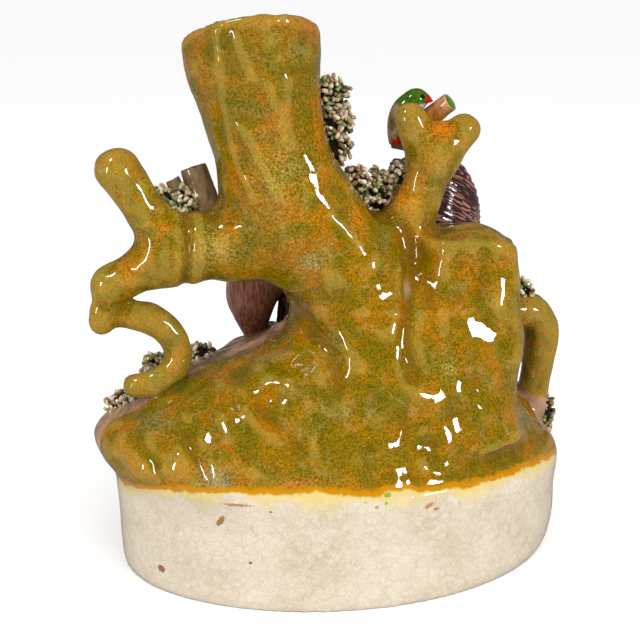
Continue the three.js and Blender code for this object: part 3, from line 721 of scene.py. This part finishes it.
def body_material():
    """Olive and ochre glaze sponged over the back, brown and pink slip on the front, and a cream crackled glaze on
    the plinth and in the well, with a yellow rim where the two glazes met and ran."""
    material, make, link, surface, place = glazed_material("sponged_earthenware_glaze")
    cloud = use(make, sponge, {"Vector": place, "Cloud Size": 14.0, "Grain Size": 1.1})
    olive = colours(make, cloud["Clouds"], [
        (0.0, paint(112, 94, 3)), (0.35, paint(126, 100, 4)), (0.6, paint(137, 102, 5)), (1.0, paint(156, 110, 10))])
    olive = blend_paint(make, olive, paint(92, 92, 8), spread(make, cloud["Hue"], 0.5, 0.0, 0.0, 0.45))
    olive = blend_paint(make, olive, paint(178, 102, 6), spread(make, cloud["Hue"], 0.55, 1.0, 0.0, 0.45))
    olive = blend_paint(make, olive, paint(170, 150, 84), number(make, "MULTIPLY", cloud["Veil"], 0.4))
    # The dabs carry glaze colours and one painted highlight.
    dabbed = make("Attribute", attribute_name="dabs_and_highlight")
    edge = number(make, "MULTIPLY_ADD", cloud["Grain"], 0.5, number(make, "ADD", dabbed.outputs["Alpha"], -0.25))
    edge = number(make, "MULTIPLY_ADD", cloud["Veil"], -0.25, edge)
    olive = blend_paint(make, olive, dabbed.outputs["Color"], spread(make, edge, 0.05, 1.0, 0.0, 0.8))
    grain = colours(make, cloud["Grain"], [(0.0, paint(150, 150, 128)), (0.4, paint(205, 205, 192)),
                                           (0.6, paint(232, 232, 226)), (1.0, paint(255, 255, 255))])
    olive = blend_paint(make, olive, grain, 0.95, "MULTIPLY")
    hollow = mask_of(make, "hollow")
    olive = blend_paint(make, olive, paint(92, 64, 2), spread(make, hollow, 0.15, 1.0, 0.0, 0.5))
    olive = blend_paint(make, olive, paint(180, 150, 66), spread(make, hollow, -0.3, -1.0, 0.0, 0.22))

    slip = colours(make, cloud["Clouds"], [(0.0, paint(104, 80, 58)), (0.45, paint(134, 104, 80)),
                                           (0.75, paint(166, 124, 98)), (1.0, paint(184, 140, 112))])
    slip = blend_paint(make, slip, paint(122, 102, 76), spread(make, cloud["Hue"], 0.35, 0.8, 0.0, 0.5))
    ragged = number(make, "MULTIPLY_ADD", noise(make, place, 7.0, 3.0), 5.0, -2.5)
    on_front = spread(make, number(make, "ADD", mask_of(make, "painted_side"), ragged), -0.6, 0.6)
    colour = blend_paint(make, olive, slip, on_front)

    cracks = use(make, crackle, {"Vector": place, "Cell Size": 3.0, "Line": 0.04})
    cream = colours(make, noise(make, place, 26.0, 3.0), [(0.3, paint(174, 161, 140)), (0.55, paint(185, 173, 154)),
                                                        (0.75, paint(191, 180, 163))])
    cream = blend_paint(make, cream, paint(206, 196, 180), number(make, "MULTIPLY", cracks["Tone"], 0.35))
    cream = blend_paint(make, cream, paint(140, 118, 92), number(make, "MULTIPLY", cracks["Lines"], 0.26))
    wave = number(make, "MULTIPLY_ADD", noise(make, place, 14.0, 3.0, 0.6), 9.0, -4.5)
    wave = number(make, "MULTIPLY_ADD", noise(make, place, 2.6, 2.0), 1.6, wave)
    over = number(make, "ADD", mask_of(make, "above_edge"), wave)
    run = number(make, "MULTIPLY_ADD", noise(make, place, 20.0, 2.0), 10.0, -2.0)
    bleed = spread(make, over, number(make, "MULTIPLY", run, -3.2), 1.0)
    cream = blend_paint(make, cream, paint(192, 170, 82), number(make, "MULTIPLY", bleed, 0.75))
    chipped = noise(make, place, 0.9, 2.0)
    for x, y, z, half_x, half_y, half_z, tilt, chip_colour in CHIPS:
        chip = use(make, dab, {"Vector": place, "Place": (x - DATUM[0], y - DATUM[1], z), "Tilt": tilt,
                               "Half Size": (half_x, half_y, half_z), "Ragged": chipped})
        cream = blend_paint(make, cream, paint(*chip_colour), number(make, "MULTIPLY", chip["Mask"], 0.9))
    colour = blend_paint(make, paint(168, 114, 4), colour, spread(make, over, 1.6, 4.6))
    colour = blend_paint(make, cream, colour, spread(make, over, -0.7, 0.9))
    colour = blend_paint(make, colour, paint(186, 172, 142), mask_of(make, "well"))
    link(colour, surface["Base Color"])
    skin = use(make, ripple, {"Vector": place, "Swell": 0.55, "Peel": 0.5})
    link(skin["Normal"], surface["Normal"])
    return material


body = make_piece("glazed_body", body_points, body_faces, body_material(),
                  body_masks(body_points, body_faces, body_normals))
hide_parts("spill_vase")

# The moss
# Heaps of clay pushed through a sieve, so that it comes out in short curling threads. The heaps are pressed on to
# the wet body, and dabbed with green and a little ochre and red before the glaze. Dark cores in the heaps, and
# threads that darken towards their roots, are painted shade between the threads.

# Each heap's middle and half sizes.
MOSS = [
    ((-3, 4, 257), (10, 10, 10)), ((-1, 4, 243), (11, 10, 10)), ((-1, 4, 229), (10, 10, 10)),
    ((11, 4, 209), (9, 10, 10)), ((24, 4, 203), (11, 11, 13)), ((37, 4, 209), (9, 9, 11)),
    ((-94, 2, 202), (8, 9, 9)), ((-82, 4, 202), (9, 9, 10)), ((-117, 10, 88), (11, 12, 7)),
    ((-98, 22, 101), (9, 11, 12)), ((-72, 24, 106), (11, 12, 10)), ((110.5, 10, 143), (5.5, 6, 6)),
    ((130.5, 24, 64), (6, 9, 11)), ((114, 30, 74), (7, 8, 7)), ((-58, 70, 84), (13, 10, 9)),
    ((6, 79, 106), (14, 8, 11)), ((72, 70, 106), (14, 9, 11)), ((82, 40, 136), (9, 10, 8)),
]


def tubes(centres, radii, sides, along=None):
    """Many closed tubes at once: a ring of points round each centre, square to the path there, with four-sided
    faces between rings and strips of them over both ends."""
    count, rings = radii.shape
    if along is None:
        along = np.gradient(centres, axis=1)
    along = along / np.linalg.norm(along, axis=2, keepdims=True)
    spare = np.where(np.abs(along[:, :1, 2:]) < 0.8, [0.0, 0.0, 1.0], [1.0, 0.0, 0.0])
    right = np.cross(along, spare)
    right /= np.linalg.norm(right, axis=2, keepdims=True)
    up = np.cross(right, along)
    turn = np.arange(sides) * 2 * np.pi / sides
    round_it = np.cos(turn)[:, None] * right[:, :, None] + np.sin(turn)[:, None] * up[:, :, None]
    points = centres[:, :, None] + radii[:, :, None, None] * round_it
    ring, side = np.meshgrid(np.arange(rings - 1), np.arange(sides), indexing="ij")
    a, b = (ring * sides + side).ravel(), (ring * sides + (side + 1) % sides).ravel()
    walls = np.stack([a, a + sides, b + sides, b], 1)
    j = np.arange(sides // 2 - 1)
    cap = np.stack([j, j + 1, sides - 2 - j, sides - 1 - j], 1)
    faces = np.concatenate([walls, cap, cap[:, ::-1] + (rings - 1) * sides])
    starts = np.arange(count) * rings * sides
    return points.reshape(-1, 3), (faces[None] + starts[:, None, None]).reshape(-1, 4)


def moss_threads(random, sides=6, rings=6):
    """Threads rooted all over each heap's oval. A thread is an arc: root + length (sin(bt) d + (1 - cos(bt)) e) / b,
    with d pointing away from the heap and e square to it. Tone is each thread's own random value."""
    roots, away = [], []
    for middle, halves in MOSS:
        middle, halves = np.array(middle, float), np.array(halves, float)
        count = int(1.6 * (halves[0] * halves[1] + halves[1] * halves[2] + halves[0] * halves[2]) / 3)
        way = random.normal(size=(count, 3))
        way /= np.linalg.norm(way, axis=1, keepdims=True)
        roots.append(middle + way * halves * random.uniform(0.7, 0.95, (count, 1)))
        away.append(way * 10 / halves)
    roots, away = np.concatenate(roots), np.concatenate(away)
    away = away + 0.6 * random.normal(size=away.shape)
    away /= np.linalg.norm(away, axis=1, keepdims=True)
    across = np.cross(away, random.normal(size=away.shape))
    across /= np.linalg.norm(across, axis=1, keepdims=True)
    count = len(roots)
    bend, length = random.uniform(1.6, 4.2, (count, 1, 1)), random.uniform(3.0, 5.4, (count, 1, 1))
    t = np.linspace(0, 1, rings)[None, :, None]
    centres = roots[:, None] + length / bend * (np.sin(bend * t) * away[:, None] +
                                                (1 - np.cos(bend * t)) * across[:, None])
    thick = random.uniform(0.85, 1.35, (count, 1)) * np.array([0.9, 1, 1.08, 1.05, 0.95, 0.55])
    points, faces = tubes(centres, thick, sides)
    tone = np.repeat(random.uniform(0, 1, count), rings * sides)
    reach = np.tile(np.repeat(np.linspace(0, 1, rings), sides), count)
    return points, faces, tone, reach


def moss_shade_cores(sides=14, rings=9):
    """The heaps' dark cores, painted shade between the threads: ovals as closed tubes along z, with their radii from a
    circle.
    """
    height = np.sin(np.linspace(-1.45, 1.45, rings))
    middles, halves = (np.array([heap[k] for heap in MOSS], float) for k in (0, 1))
    centres = np.zeros((len(MOSS), rings, 3))
    centres[..., 2] = height
    points, faces = tubes(centres, np.tile(np.sqrt(1 - height**2), (len(MOSS), 1)), sides)
    per_heap = rings * sides
    points = points * np.repeat(halves * 0.8, per_heap, axis=0) + np.repeat(middles, per_heap, axis=0)
    return points, faces


def moss_material():
    """Beige threads stained with green, ochre and specks of red, with painted shade between them that is darkest at
    their roots, under a thin glaze.
    """
    material, make, link, surface, place = glazed_material("shredded_clay_moss")
    surface["Coat Weight"].default_value = 0.7
    surface["Coat Roughness"].default_value = 0.12
    thread = colours(make, mask_of(make, "tone"), [
        (0.0, paint(108, 88, 60)), (0.25, paint(152, 130, 96)), (0.55, paint(186, 164, 130)),
        (0.85, paint(212, 194, 164)), (1.0, paint(224, 208, 182))])
    stain = noise(make, place, 5.0, 2.0)
    thread = blend_paint(make, thread, paint(84, 112, 44), spread(make, stain, 0.54, 0.66, 0.0, 0.9))
    fleck = noise(make, make("VectorMath", {0: place, 1: (40.0, 9.0, 3.0)}, operation="ADD").outputs[0], 3.0, 1.0)
    thread = blend_paint(make, thread, paint(26, 84, 44), spread(make, fleck, 0.62, 0.68, 0.0, 0.85))
    thread = blend_paint(make, thread, paint(176, 126, 36), spread(make, fleck, 0.36, 0.3, 0.0, 0.7))
    warm = noise(make, make("VectorMath", {0: place, 1: (3.0, 70.0, 31.0)}, operation="ADD").outputs[0], 3.4, 1.0)
    thread = blend_paint(make, thread, paint(140, 40, 26), spread(make, warm, 0.68, 0.72, 0.0, 0.8))
    # Painted shade: threads darken towards their roots, and the dark cores, whose reach is below zero, are fully dark.
    depth = spread(make, mask_of(make, "reach"), -0.2, 0.55)
    link(blend_paint(make, paint(26, 18, 8), thread, depth), surface["Base Color"])
    skin = use(make, ripple, {"Vector": place, "Swell": 0.3, "Peel": 1.5})
    link(skin["Normal"], surface["Normal"])
    return material


thread_points, thread_faces, thread_tone, thread_reach = moss_threads(np.random.default_rng(41))
# The dark cores are painted shade between the threads.
shade_core_points, shade_core_faces = moss_shade_cores()
moss = make_piece("moss", np.concatenate([thread_points, shade_core_points]),
                  np.concatenate([thread_faces, shade_core_faces + len(thread_points)]), moss_material(),
                  {"tone": np.concatenate([thread_tone, np.zeros(len(shade_core_points))]),
                   "reach": np.concatenate([thread_reach, np.full(len(shade_core_points), -0.3)])})

# The cut twigs
# Short rolled twigs with a sliced, slightly dished end, stuck on behind the arm and the fork. They are painted
# taupe or pinkish orange under the glaze, with the cut end in maroon or green.

# Base, tip, radius at the base and the tip, paint of the bark, paint of the cut end.
TWIGS = [
    ((-65.5, 2, 184), (-76.5, 8, 220), 8.6, 7.2, (124, 104, 76), (60, 4, 14)),
    ((-77, 2, 190), (-88, 6, 214), 4.8, 3.9, (128, 106, 78), (132, 110, 82)),
    ((47, 12, 238), (63.5, 1.5, 252.5), 5.6, 5.2, (190, 134, 92), (62, 132, 40)),
    ((50, 6, 228), (34, 12, 230.5), 4.4, 4.2, (122, 98, 70), (112, 92, 66)),
]
# The way along each twig, as a share of its length, and the radius there as a share of the radius at the tip.
TWIG_SHAFT = 14
TWIG_END = [(0.97, 1.0), (0.985, 0.99), (0.996, 0.95), (1.0, 0.88), (0.998, 0.82), (0.985, 0.74), (0.975, 0.55),
            (0.972, 0.3), (0.971, 0.08)]


def twig(base, tip, base_radius, tip_radius, sides=32):
    """One twig: rings up a tapering shaft, over a rounded lip and down into a shallow dish in its end."""
    base, tip = np.array(base, float), np.array(tip, float)
    up_shaft = np.linspace(0, 0.94, TWIG_SHAFT)
    end = np.array(TWIG_END)
    share = np.concatenate([up_shaft, end[:, 0]])
    radius = np.concatenate([base_radius + (tip_radius - base_radius) * up_shaft, tip_radius * end[:, 1]])
    centres = base + (tip - base) * share[:, None]
    along = np.broadcast_to(tip - base, centres.shape)
    points, faces = tubes(centres[None], radius[None], sides, along[None])
    return points, faces, np.repeat(np.clip((np.arange(len(share)) - TWIG_SHAFT - 3) / 2, 0, 1), sides)


def twig_material():
    """Bark and cut end in their own paints, brushed unevenly, darker in long streaks."""
    material, make, link, surface, place = glazed_material("painted_twig")
    stretched = make("VectorMath", {0: place, 1: (1.0, 1.0, 0.3)}, operation="MULTIPLY").outputs[0]
    colour = make("Attribute", attribute_name="paint").outputs["Color"]
    uneven = colours(make, noise(make, stretched, 3.5, 3.0, 0.65), [
        (0.3, paint(150, 135, 125)), (0.5, paint(225, 218, 212)), (0.7, paint(255, 255, 255))])
    colour = blend_paint(make, colour, uneven, 0.9, "MULTIPLY")
    link(colour, surface["Base Color"])
    skin = use(make, ripple, {"Vector": place, "Swell": 0.8, "Peel": 0.6})
    link(skin["Normal"], surface["Normal"])
    return material


twig_points, twig_faces, twig_paint = [], [], []
for base, tip, base_radius, tip_radius, bark, cut in TWIGS:
    points, faces, end_share = twig(base, tip, base_radius, tip_radius)
    points += point_normals(points, faces) * 0.35 * wander(points, 9, 12)[:, None]
    colour = np.array(paint(*bark)) * (1 - end_share[:, None]) + np.array(paint(*cut)) * end_share[:, None]
    if cut[1] > 2 * cut[2]:
        under = ease(255 - points[:, 2], 4, 12)[:, None] * (1 - end_share[:, None])
        colour = colour * (1 - under) + np.array(paint(196, 138, 22)) * under
    twig_faces.append(faces + sum(len(p) for p in twig_points))
    twig_points.append(points)
    twig_paint.append(colour)
twigs = make_piece("cut_twigs", np.concatenate(twig_points), np.concatenate(twig_faces), twig_material(),
                   {"paint": np.concatenate(twig_paint)})

# The bird
# A small bird in the fork, pinched from one piece of clay and perched on the short twig behind the left prong. It
# is painted green on the head and back, grey-pink on the flank, and red on the beak and feet.


def model_bird(step=0.75):
    """The bird's clay: body and tail as one limb, head, beak, wings and feet."""
    clay = Clay((18, -14, 216), (64, 26, 270), step)
    clay.limb([(32.5, 5, 231.5, 2.4), (34, 5, 237, 4.6), (36.5, 5, 243, 6.8), (39.5, 5, 248, 7.6),
               (43.5, 5, 252.5, 6.6)], 2)
    clay.ball((46, 4.5, 254.5), (5.4, 5.2, 5.2), 2.5)
    clay.limb([(50, 4, 254.5, 2.7), (53.4, 3.4, 253, 0.9)], 1.2)
    clay.limb([(41, 11, 250, 2.4), (37, 11.6, 243, 3.0), (33, 10, 234, 1.6)], 1.5)
    clay.limb([(41, -1.2, 250, 2.4), (37, -1.2, 243, 3.0), (33, 0.5, 234, 1.6)], 1.5)
    clay.ball((34.5, 3, 232.5), (3.2, 3.4, 2.6), 1)
    clay.ball((36, 8.5, 233), (3.0, 3.0, 2.4), 1)
    return clay.skin()


def bird_paint(points, normals):
    """Paint at each point, laid on in turn: grey-pink body, olive flank, green head and back, pale throat, red
    beak and feet, and a dark eye on each side."""
    x, y, z = points.T
    colour = np.tile(paint(150, 124, 98), (len(points), 1))

    def lay(share, *shade):
        colour[:] = colour * (1 - share[:, None]) + np.array(paint(*shade)) * share[:, None]
    lay(ease(wander(points, 5, 15), -0.2, 0.5) * 0.8, 92, 84, 34)
    along = (x - 31) * 0.6 + (z - 232) * 0.8
    lay(ease(along, 16, 19), 58, 92, 16)
    lay(ease(normals[:, 0] * 0.7 + normals[:, 2], 0.5, 0.9) * ease(along, 4, 9), 66, 98, 20)
    throat = ease(x - 0.5 * (z - 250), 42.5, 45.5) * (1 - ease(z, 251, 253))
    lay(throat, 206, 186, 160)
    lay(ease(x - 0.2 * (z - 254), 49, 50.2), 184, 20, 10)
    for foot in ((34.5, 2, 232.5), (36, 9, 233)):
        away = np.sqrt(((points - np.array(foot))**2).sum(1))
        lay(1 - ease(away, 3.0, 4.2), 176, 18, 10)
    for side in (-0.6, 9.6):
        eye = np.sqrt((x - 47.5)**2 + (y - side)**2 + (z - 256)**2)
        lay(1 - ease(eye, 1.0, 1.6), 18, 14, 10)
    return colour


def painted_material(name, grain_size, grain_share):
    """Paint that the mesh carries, with fine uneven brushing over it, under the glaze."""
    material, make, link, surface, place = glazed_material(name)
    colour = make("Attribute", attribute_name="paint").outputs["Color"]
    uneven = colours(make, noise(make, place, grain_size, 3.0, 0.65), [
        (0.3, paint(140, 136, 120)), (0.5, paint(230, 228, 222)), (0.7, paint(255, 255, 255))])
    link(blend_paint(make, colour, uneven, grain_share, "MULTIPLY"), surface["Base Color"])
    skin = use(make, ripple, {"Vector": place, "Swell": 0.5, "Peel": 0.6})
    link(skin["Normal"], surface["Normal"])
    return material


bird_points, bird_faces = model_bird()
bird_normals = point_normals(bird_points, bird_faces)
bird = make_piece("bird", bird_points, bird_faces, painted_material("painted_bird", 2.0, 0.9),
                  {"paint": bird_paint(bird_points, bird_normals)})

# The animal in front
# A maned beast climbing the rocky ground, modelled in the round and luted on by its paws and a clay prop under its
# belly. Its coat is brushed pinkish brown, and its mane is nearly black with strokes scratched through it.

ANIMAL_Y = 45


def model_animal(step=1.15):
    """The animal's clay: body, haunches, legs, toed paws, prop and tail, then the mane, the head and its face."""
    y = ANIMAL_Y
    clay = Clay((-66, 6, 96), (102, 94, 236), step)
    clay.limb([(-38.5, y, 148, 15), (-18, y, 155, 14.5), (10, y, 160, 15.5), (36, y, 168, 18), (52, y - 2, 178, 19)], 6)
    for shift in (-3, 17):
        clay.limb([(-38, y + 0.7 * shift, 149, 15.5), (-41, y + shift, 134, 12.8), (-40, y + shift, 122, 8.5),
                   (-36, y + shift, 112, 7)], 5)
        clay.ball((-34, y + shift + 0.5, 113), (8, 6.5, 5.5), 3)
        for toe in (-4, 0, 4):
            clay.ball((-26.5, y + shift + toe + 1, 112.5), (5, 2.6, 4), 1.2)
    for shift in (-2, 17):
        clay.limb([(48, y + 0.8 * shift, 160, 11), (46, y + shift, 146, 7.8), (44, y + shift, 132, 7)], 5)
        clay.ball((40, y + shift + 0.5, 138), (8, 6.5, 5.5), 3)
        for toe in (-4, 0, 4):
            clay.ball((32, y + shift + toe + 0.5, 138), (5, 2.6, 4), 1.2)
    clay.limb([(-14, y + 2, 152, 10), (-18, y + 2, 134, 6.8), (-20, y + 2, 112, 8)], 4)
    clay.limb([(-43, y + 12, 152, 4.5), (-47, y + 20, 142, 4), (-42, y + 28, 132, 3.6), (-31, y + 30, 134, 3.6),
               (-24, y + 29, 142, 5.2)], 2)
    clay.limb([(56, y + 2, 176, 20), (52, y + 4, 156, 17), (46, y + 4, 140, 14)], 6)
    clay.limb([(64, y - 5, 164, 22), (62.5, y - 5, 178, 29.5), (62, y - 4, 191, 28), (62.5, y - 3, 203, 19)], 5,
              depth=0.9)
    clay.limb([(62, y + 8, 188, 15), (63, y + 18, 187, 13.5), (64, y + 28, 182, 9.0)], 5)
    clay.ball((62.5, y + 19, 198), (11, 9, 6.5), 5)
    clay.ball((64, y + 35, 185.5), (4.4, 3.2, 3.2), 1.5)
    clay.ball((59.5, y + 31, 179.5), (5.2, 5.5, 5), 2)
    clay.ball((68.5, y + 31, 179.5), (5.2, 5.5, 5), 2)
    clay.ball((64, y + 28, 173.5), (5.2, 5.5, 3.6), 2)
    for side in (-1, 1):
        clay.ball((63 + 6.6 * side, y + 26.5, 193.5), (3.0, 2.6, 2.6), 0.8)
        clay.ball((62.5 + 15 * side, y + 12, 207), (5.5, 4, 7), 2.5)
    return clay.skin()


def mane_share(points):
    """1 on the mane and 0 on the coat: all that lies right of a slanting line over the shoulder, but not the face."""
    x, y, z = points.T
    behind = ease(x - 0.35 * (190 - z) + 0.6 * wander(points, 10, 21), 33, 38)
    low = ease(z - 0.3 * (y - ANIMAL_Y), 146, 152)
    face = ((x - 63.5) / 15)**2 + ((z - 187) / 20)**2
    clear = 1 - (1 - ease(face, 0.8, 1.15)) * ease(y, ANIMAL_Y + 19, ANIMAL_Y + 22)
    return behind * low * clear


def animal_brush(points, mane):
    """Vector that the brush and the scratching follow. On the coat, strokes run down, so z counts little; on the
    mane they run across and fall to the right in slack curves, so x counts little."""
    x, y, z = points.T
    coat = np.stack([x, y, 0.16 * z], 1)
    fall = z + 0.3 * (x - 62) + 0.008 * (x - 62)**2 + 1.2 * wander(points, 16, 22)
    curls = np.stack([fall, 0.3 * y, 0.14 * x + 200], 1)
    return np.where(mane[:, None] > 0.5, curls, coat)


def animal_paint(points, mane):
    """Paint at each point, laid on in turn: coat, belly and lower legs darker towards the ground, partly brown paint
    and partly painted shade, a paler band at the ground, prop, mane, face, nose, mouth and eyes.
    """
    x, y, z = points.T
    colour = np.tile(paint(132, 82, 62), (len(points), 1))

    def lay(share, *shade):
        colour[:] = colour * (1 - share[:, None]) + np.array(paint(*shade)) * share[:, None]
    lay(ease(wander(points, 12, 17), 0, 0.7) * 0.6, 150, 100, 82)
    floor = np.interp(x, [-60, -20, 20, 60, 90], [112, 116, 134, 138, 138])
    # Darker brown towards the ground: partly brown paint on the lower legs and partly painted shade under the body.
    lay((1 - ease(z - floor, 4, 22)) * 0.85, 104, 50, 22)
    lay(1 - ease(z - floor, 0, 6), 150, 104, 78)
    prop = ease(x, -30, -26) * (1 - ease(x, -8, -2)) * (1 - ease(z, 138, 146))
    lay(prop, 44, 26, 14)
    lay(mane, 50, 31, 32)
    y0 = ANIMAL_Y
    muzzle = ease(y, y0 + 24, y0 + 29) * (1 - ease(z, 186, 190)) * ease(z, 166, 170)
    lay(muzzle * (1 - mane) * 0.8, 190, 142, 108)

    def spot(at, halves, *shade):
        away = np.sqrt((((points - np.array(at)) / np.array(halves))**2).sum(1))
        lay(1 - ease(away, 0.8, 1.15), *shade)
    spot((64, y0 + 38, 186), (5, 4, 3), 28, 14, 12)
    spot((64, y0 + 34, 175.6), (6.5, 6, 0.9), 60, 18, 14)
    spot((64, y0 + 36, 180), (0.8, 6, 4), 60, 24, 18)
    for side in (-1, 1):
        spot((63 + 6.8 * side, y0 + 29, 193.5), (3.0, 2.4, 2.2), 216, 190, 120)
        spot((63 + 6.8 * side, y0 + 30, 193.5), (1.4, 3, 1.7), 14, 10, 8)
        spot((63 + 7.2 * side, y0 + 26.5, 197.5), (5, 5, 1.1), 50, 26, 18)
    return colour


def brushed_group():
    """Brush and scratch marks: streaks of noise along a vector whose long way is shrunk, in two widths."""
    group, make, given, result = effect(
        "Brushed strokes", {"Vector": ("Vector", (0, 0, 0)), "Width": ("Float", 1.5), "Sharp": ("Float", 0.1)},
        {"Strokes": "Float", "Fine": "Float"})
    place = make("VectorMath", {0: given["Vector"], "Scale": number(make, "DIVIDE", 1.0, given["Width"])},
                 operation="SCALE").outputs[0]
    wide, fine = noise(make, place, 1.0, 1.0), noise(make, place, 0.45, 1.0)
    low, high = number(make, "SUBTRACT", 0.54, given["Sharp"]), number(make, "ADD", 0.54, given["Sharp"])
    group.links.new(spread(make, wide, low, high), result["Strokes"])
    group.links.new(spread(make, fine, 0.35, 0.65), result["Fine"])
    return group


brushed = brushed_group()


def animal_material():
    """Brushed coat, and a mane nearly black with a painted bluish sheen, scratched through to pinkish tan."""
    material, make, link, surface, place = glazed_material("brushed_coat_and_mane")
    way = make("Attribute", attribute_name="brush").outputs["Vector"]
    colour = make("Attribute", attribute_name="paint").outputs["Color"]
    mane = mask_of(make, "mane")
    coat = use(make, brushed, {"Vector": way, "Width": 1.7, "Sharp": 0.16})
    soft = colours(make, coat["Fine"], [(0.0, paint(176, 150, 144)), (0.5, paint(232, 226, 224)),
                                        (1.0, paint(255, 255, 255))])
    fur = blend_paint(make, colour, soft, 0.9, "MULTIPLY")
    fur = blend_paint(make, fur, paint(168, 122, 104), number(make, "MULTIPLY", coat["Strokes"], 0.3))
    scratch = use(make, brushed, {"Vector": way, "Width": 1.15, "Sharp": 0.05})
    patch = spread(make, noise(make, place, 11.0, 1.0), 0.34, 0.54)
    share = number(make, "MULTIPLY", scratch["Strokes"], patch)
    hair = blend_paint(make, colour, paint(158, 112, 92), number(make, "MULTIPLY", share, 0.85))
    # Painted sheen: a dark bluish tint in the mane's fine grain stands in for its glossy reflection.
    hair = blend_paint(make, hair, paint(30, 34, 52), number(make, "MULTIPLY", coat["Fine"], 0.25))
    link(blend_paint(make, fur, hair, mane), surface["Base Color"])
    sunk = number(make, "MULTIPLY", share, number(make, "MULTIPLY", mane, 0.5))
    skin = use(make, ripple, {"Vector": place, "Swell": 0.4, "Peel": 0.5, "Sunk": sunk})
    link(skin["Normal"], surface["Normal"])
    return material


animal_points, animal_faces = model_animal()
mane_mask = mane_share(animal_points)
brush = animal_brush(animal_points, mane_mask)
animal_normals = point_normals(animal_points, animal_faces)
furrow = mane_mask * 0.32 * np.sin(brush[:, 0] * 2.1 + 1.5 * wander(animal_points, 14, 23))
animal_points += animal_normals * (furrow + 0.35 * wander(animal_points, 9, 24))[:, None]
animal = make_piece("maned_animal", animal_points, animal_faces, animal_material(),
                    {"paint": animal_paint(animal_points, mane_mask), "mane": mane_mask, "brush": brush})

# The studio
# A plain pale floor under an even white sky that glossy glaze sees as a dim room, with three small lamps for the
# glaze's highlights, and a camera at the height and distance that the plinth's curve shows.

floor_mesh = bpy.data.meshes.new("floor")
floor_mesh.from_pydata([(-14, -14, 0), (14, -14, 0), (14, 14, 0), (-14, 14, 0)], [], [(0, 1, 2, 3)])
floor = bpy.data.objects.new("floor", floor_mesh)
bpy.context.scene.collection.objects.link(floor)
floor_paint = bpy.data.materials.new("pale_floor")
floor_paint.use_nodes = True
make = nodes_for(floor_paint.node_tree)
in_gloss = make("LightPath").outputs["Is Glossy Ray"]
floor_surface = floor_paint.node_tree.nodes["Principled BSDF"].inputs
floor_paint.node_tree.links.new(blend_paint(make, (0.93, 0.93, 0.93, 1), (0.22, 0.21, 0.2, 1), in_gloss),
                                floor_surface["Base Color"])
floor_surface["Roughness"].default_value = 0.9
floor_surface["Specular IOR Level"].default_value = 0.0
floor_mesh.materials.append(floor_paint)

world = bpy.data.worlds.new("studio_air")
world.use_nodes = True
make = nodes_for(world.node_tree)
sky = world.node_tree.nodes["Background"]
sky.inputs["Color"].default_value = (1, 1, 1, 1)
world.node_tree.links.new(spread(make, make("LightPath").outputs["Is Glossy Ray"], 0.0, 1.0, 0.62, 0.1),
                          sky.inputs["Strength"])
bpy.context.scene.world = world


def lamp(name, kind, azimuth, height_angle, reach, power, width=0.0, height=0.0):
    """Lamp in a direction from the object, by compass angle from the front of the picture and angle of height, at
    a reach in metres and facing it. A sun has its width as an angle and stays out of reflections."""
    light = bpy.data.lights.new(name, kind)
    light.energy = power
    holder = bpy.data.objects.new(name, light)
    bpy.context.scene.collection.objects.link(holder)
    turn, rise = np.radians((azimuth, height_angle))
    away = Vector((np.sin(turn) * np.cos(rise), -np.cos(turn) * np.cos(rise), np.sin(rise)))
    holder.location = Vector((0, 0, 0.17)) + away * reach
    holder.rotation_euler = away.to_track_quat("Z", "Y").to_euler()
    if kind == "SUN":
        light.angle = np.radians(width)
        holder.visible_glossy = False
    else:
        light.shape = "RECTANGLE"
        light.size, light.size_y = width, height


lamp("soft_sun", "SUN", 15, 48, 3, 1.7, 70)
lamp("right_lamp", "AREA", 42, 17, 1.3, 7.0, 0.22, 0.28)
lamp("left_lamp", "AREA", -56, 10, 1.2, 5.0, 0.08, 0.5)
lamp("upper_lamp", "AREA", -68, 57, 1.3, 4.0, 0.16, 0.2)

camera_data = bpy.data.cameras.new("camera")
camera_data.lens = 83.7
camera_data.sensor_width = 36
camera = bpy.data.objects.new("camera", camera_data)
camera.location = (-0.1511, -0.7877, 0.350)
camera.rotation_euler = np.radians((74.8, 0, -10))
bpy.context.scene.collection.objects.link(camera)
bpy.context.scene.camera = camera
bpy.context.scene.view_settings.view_transform = "Standard"
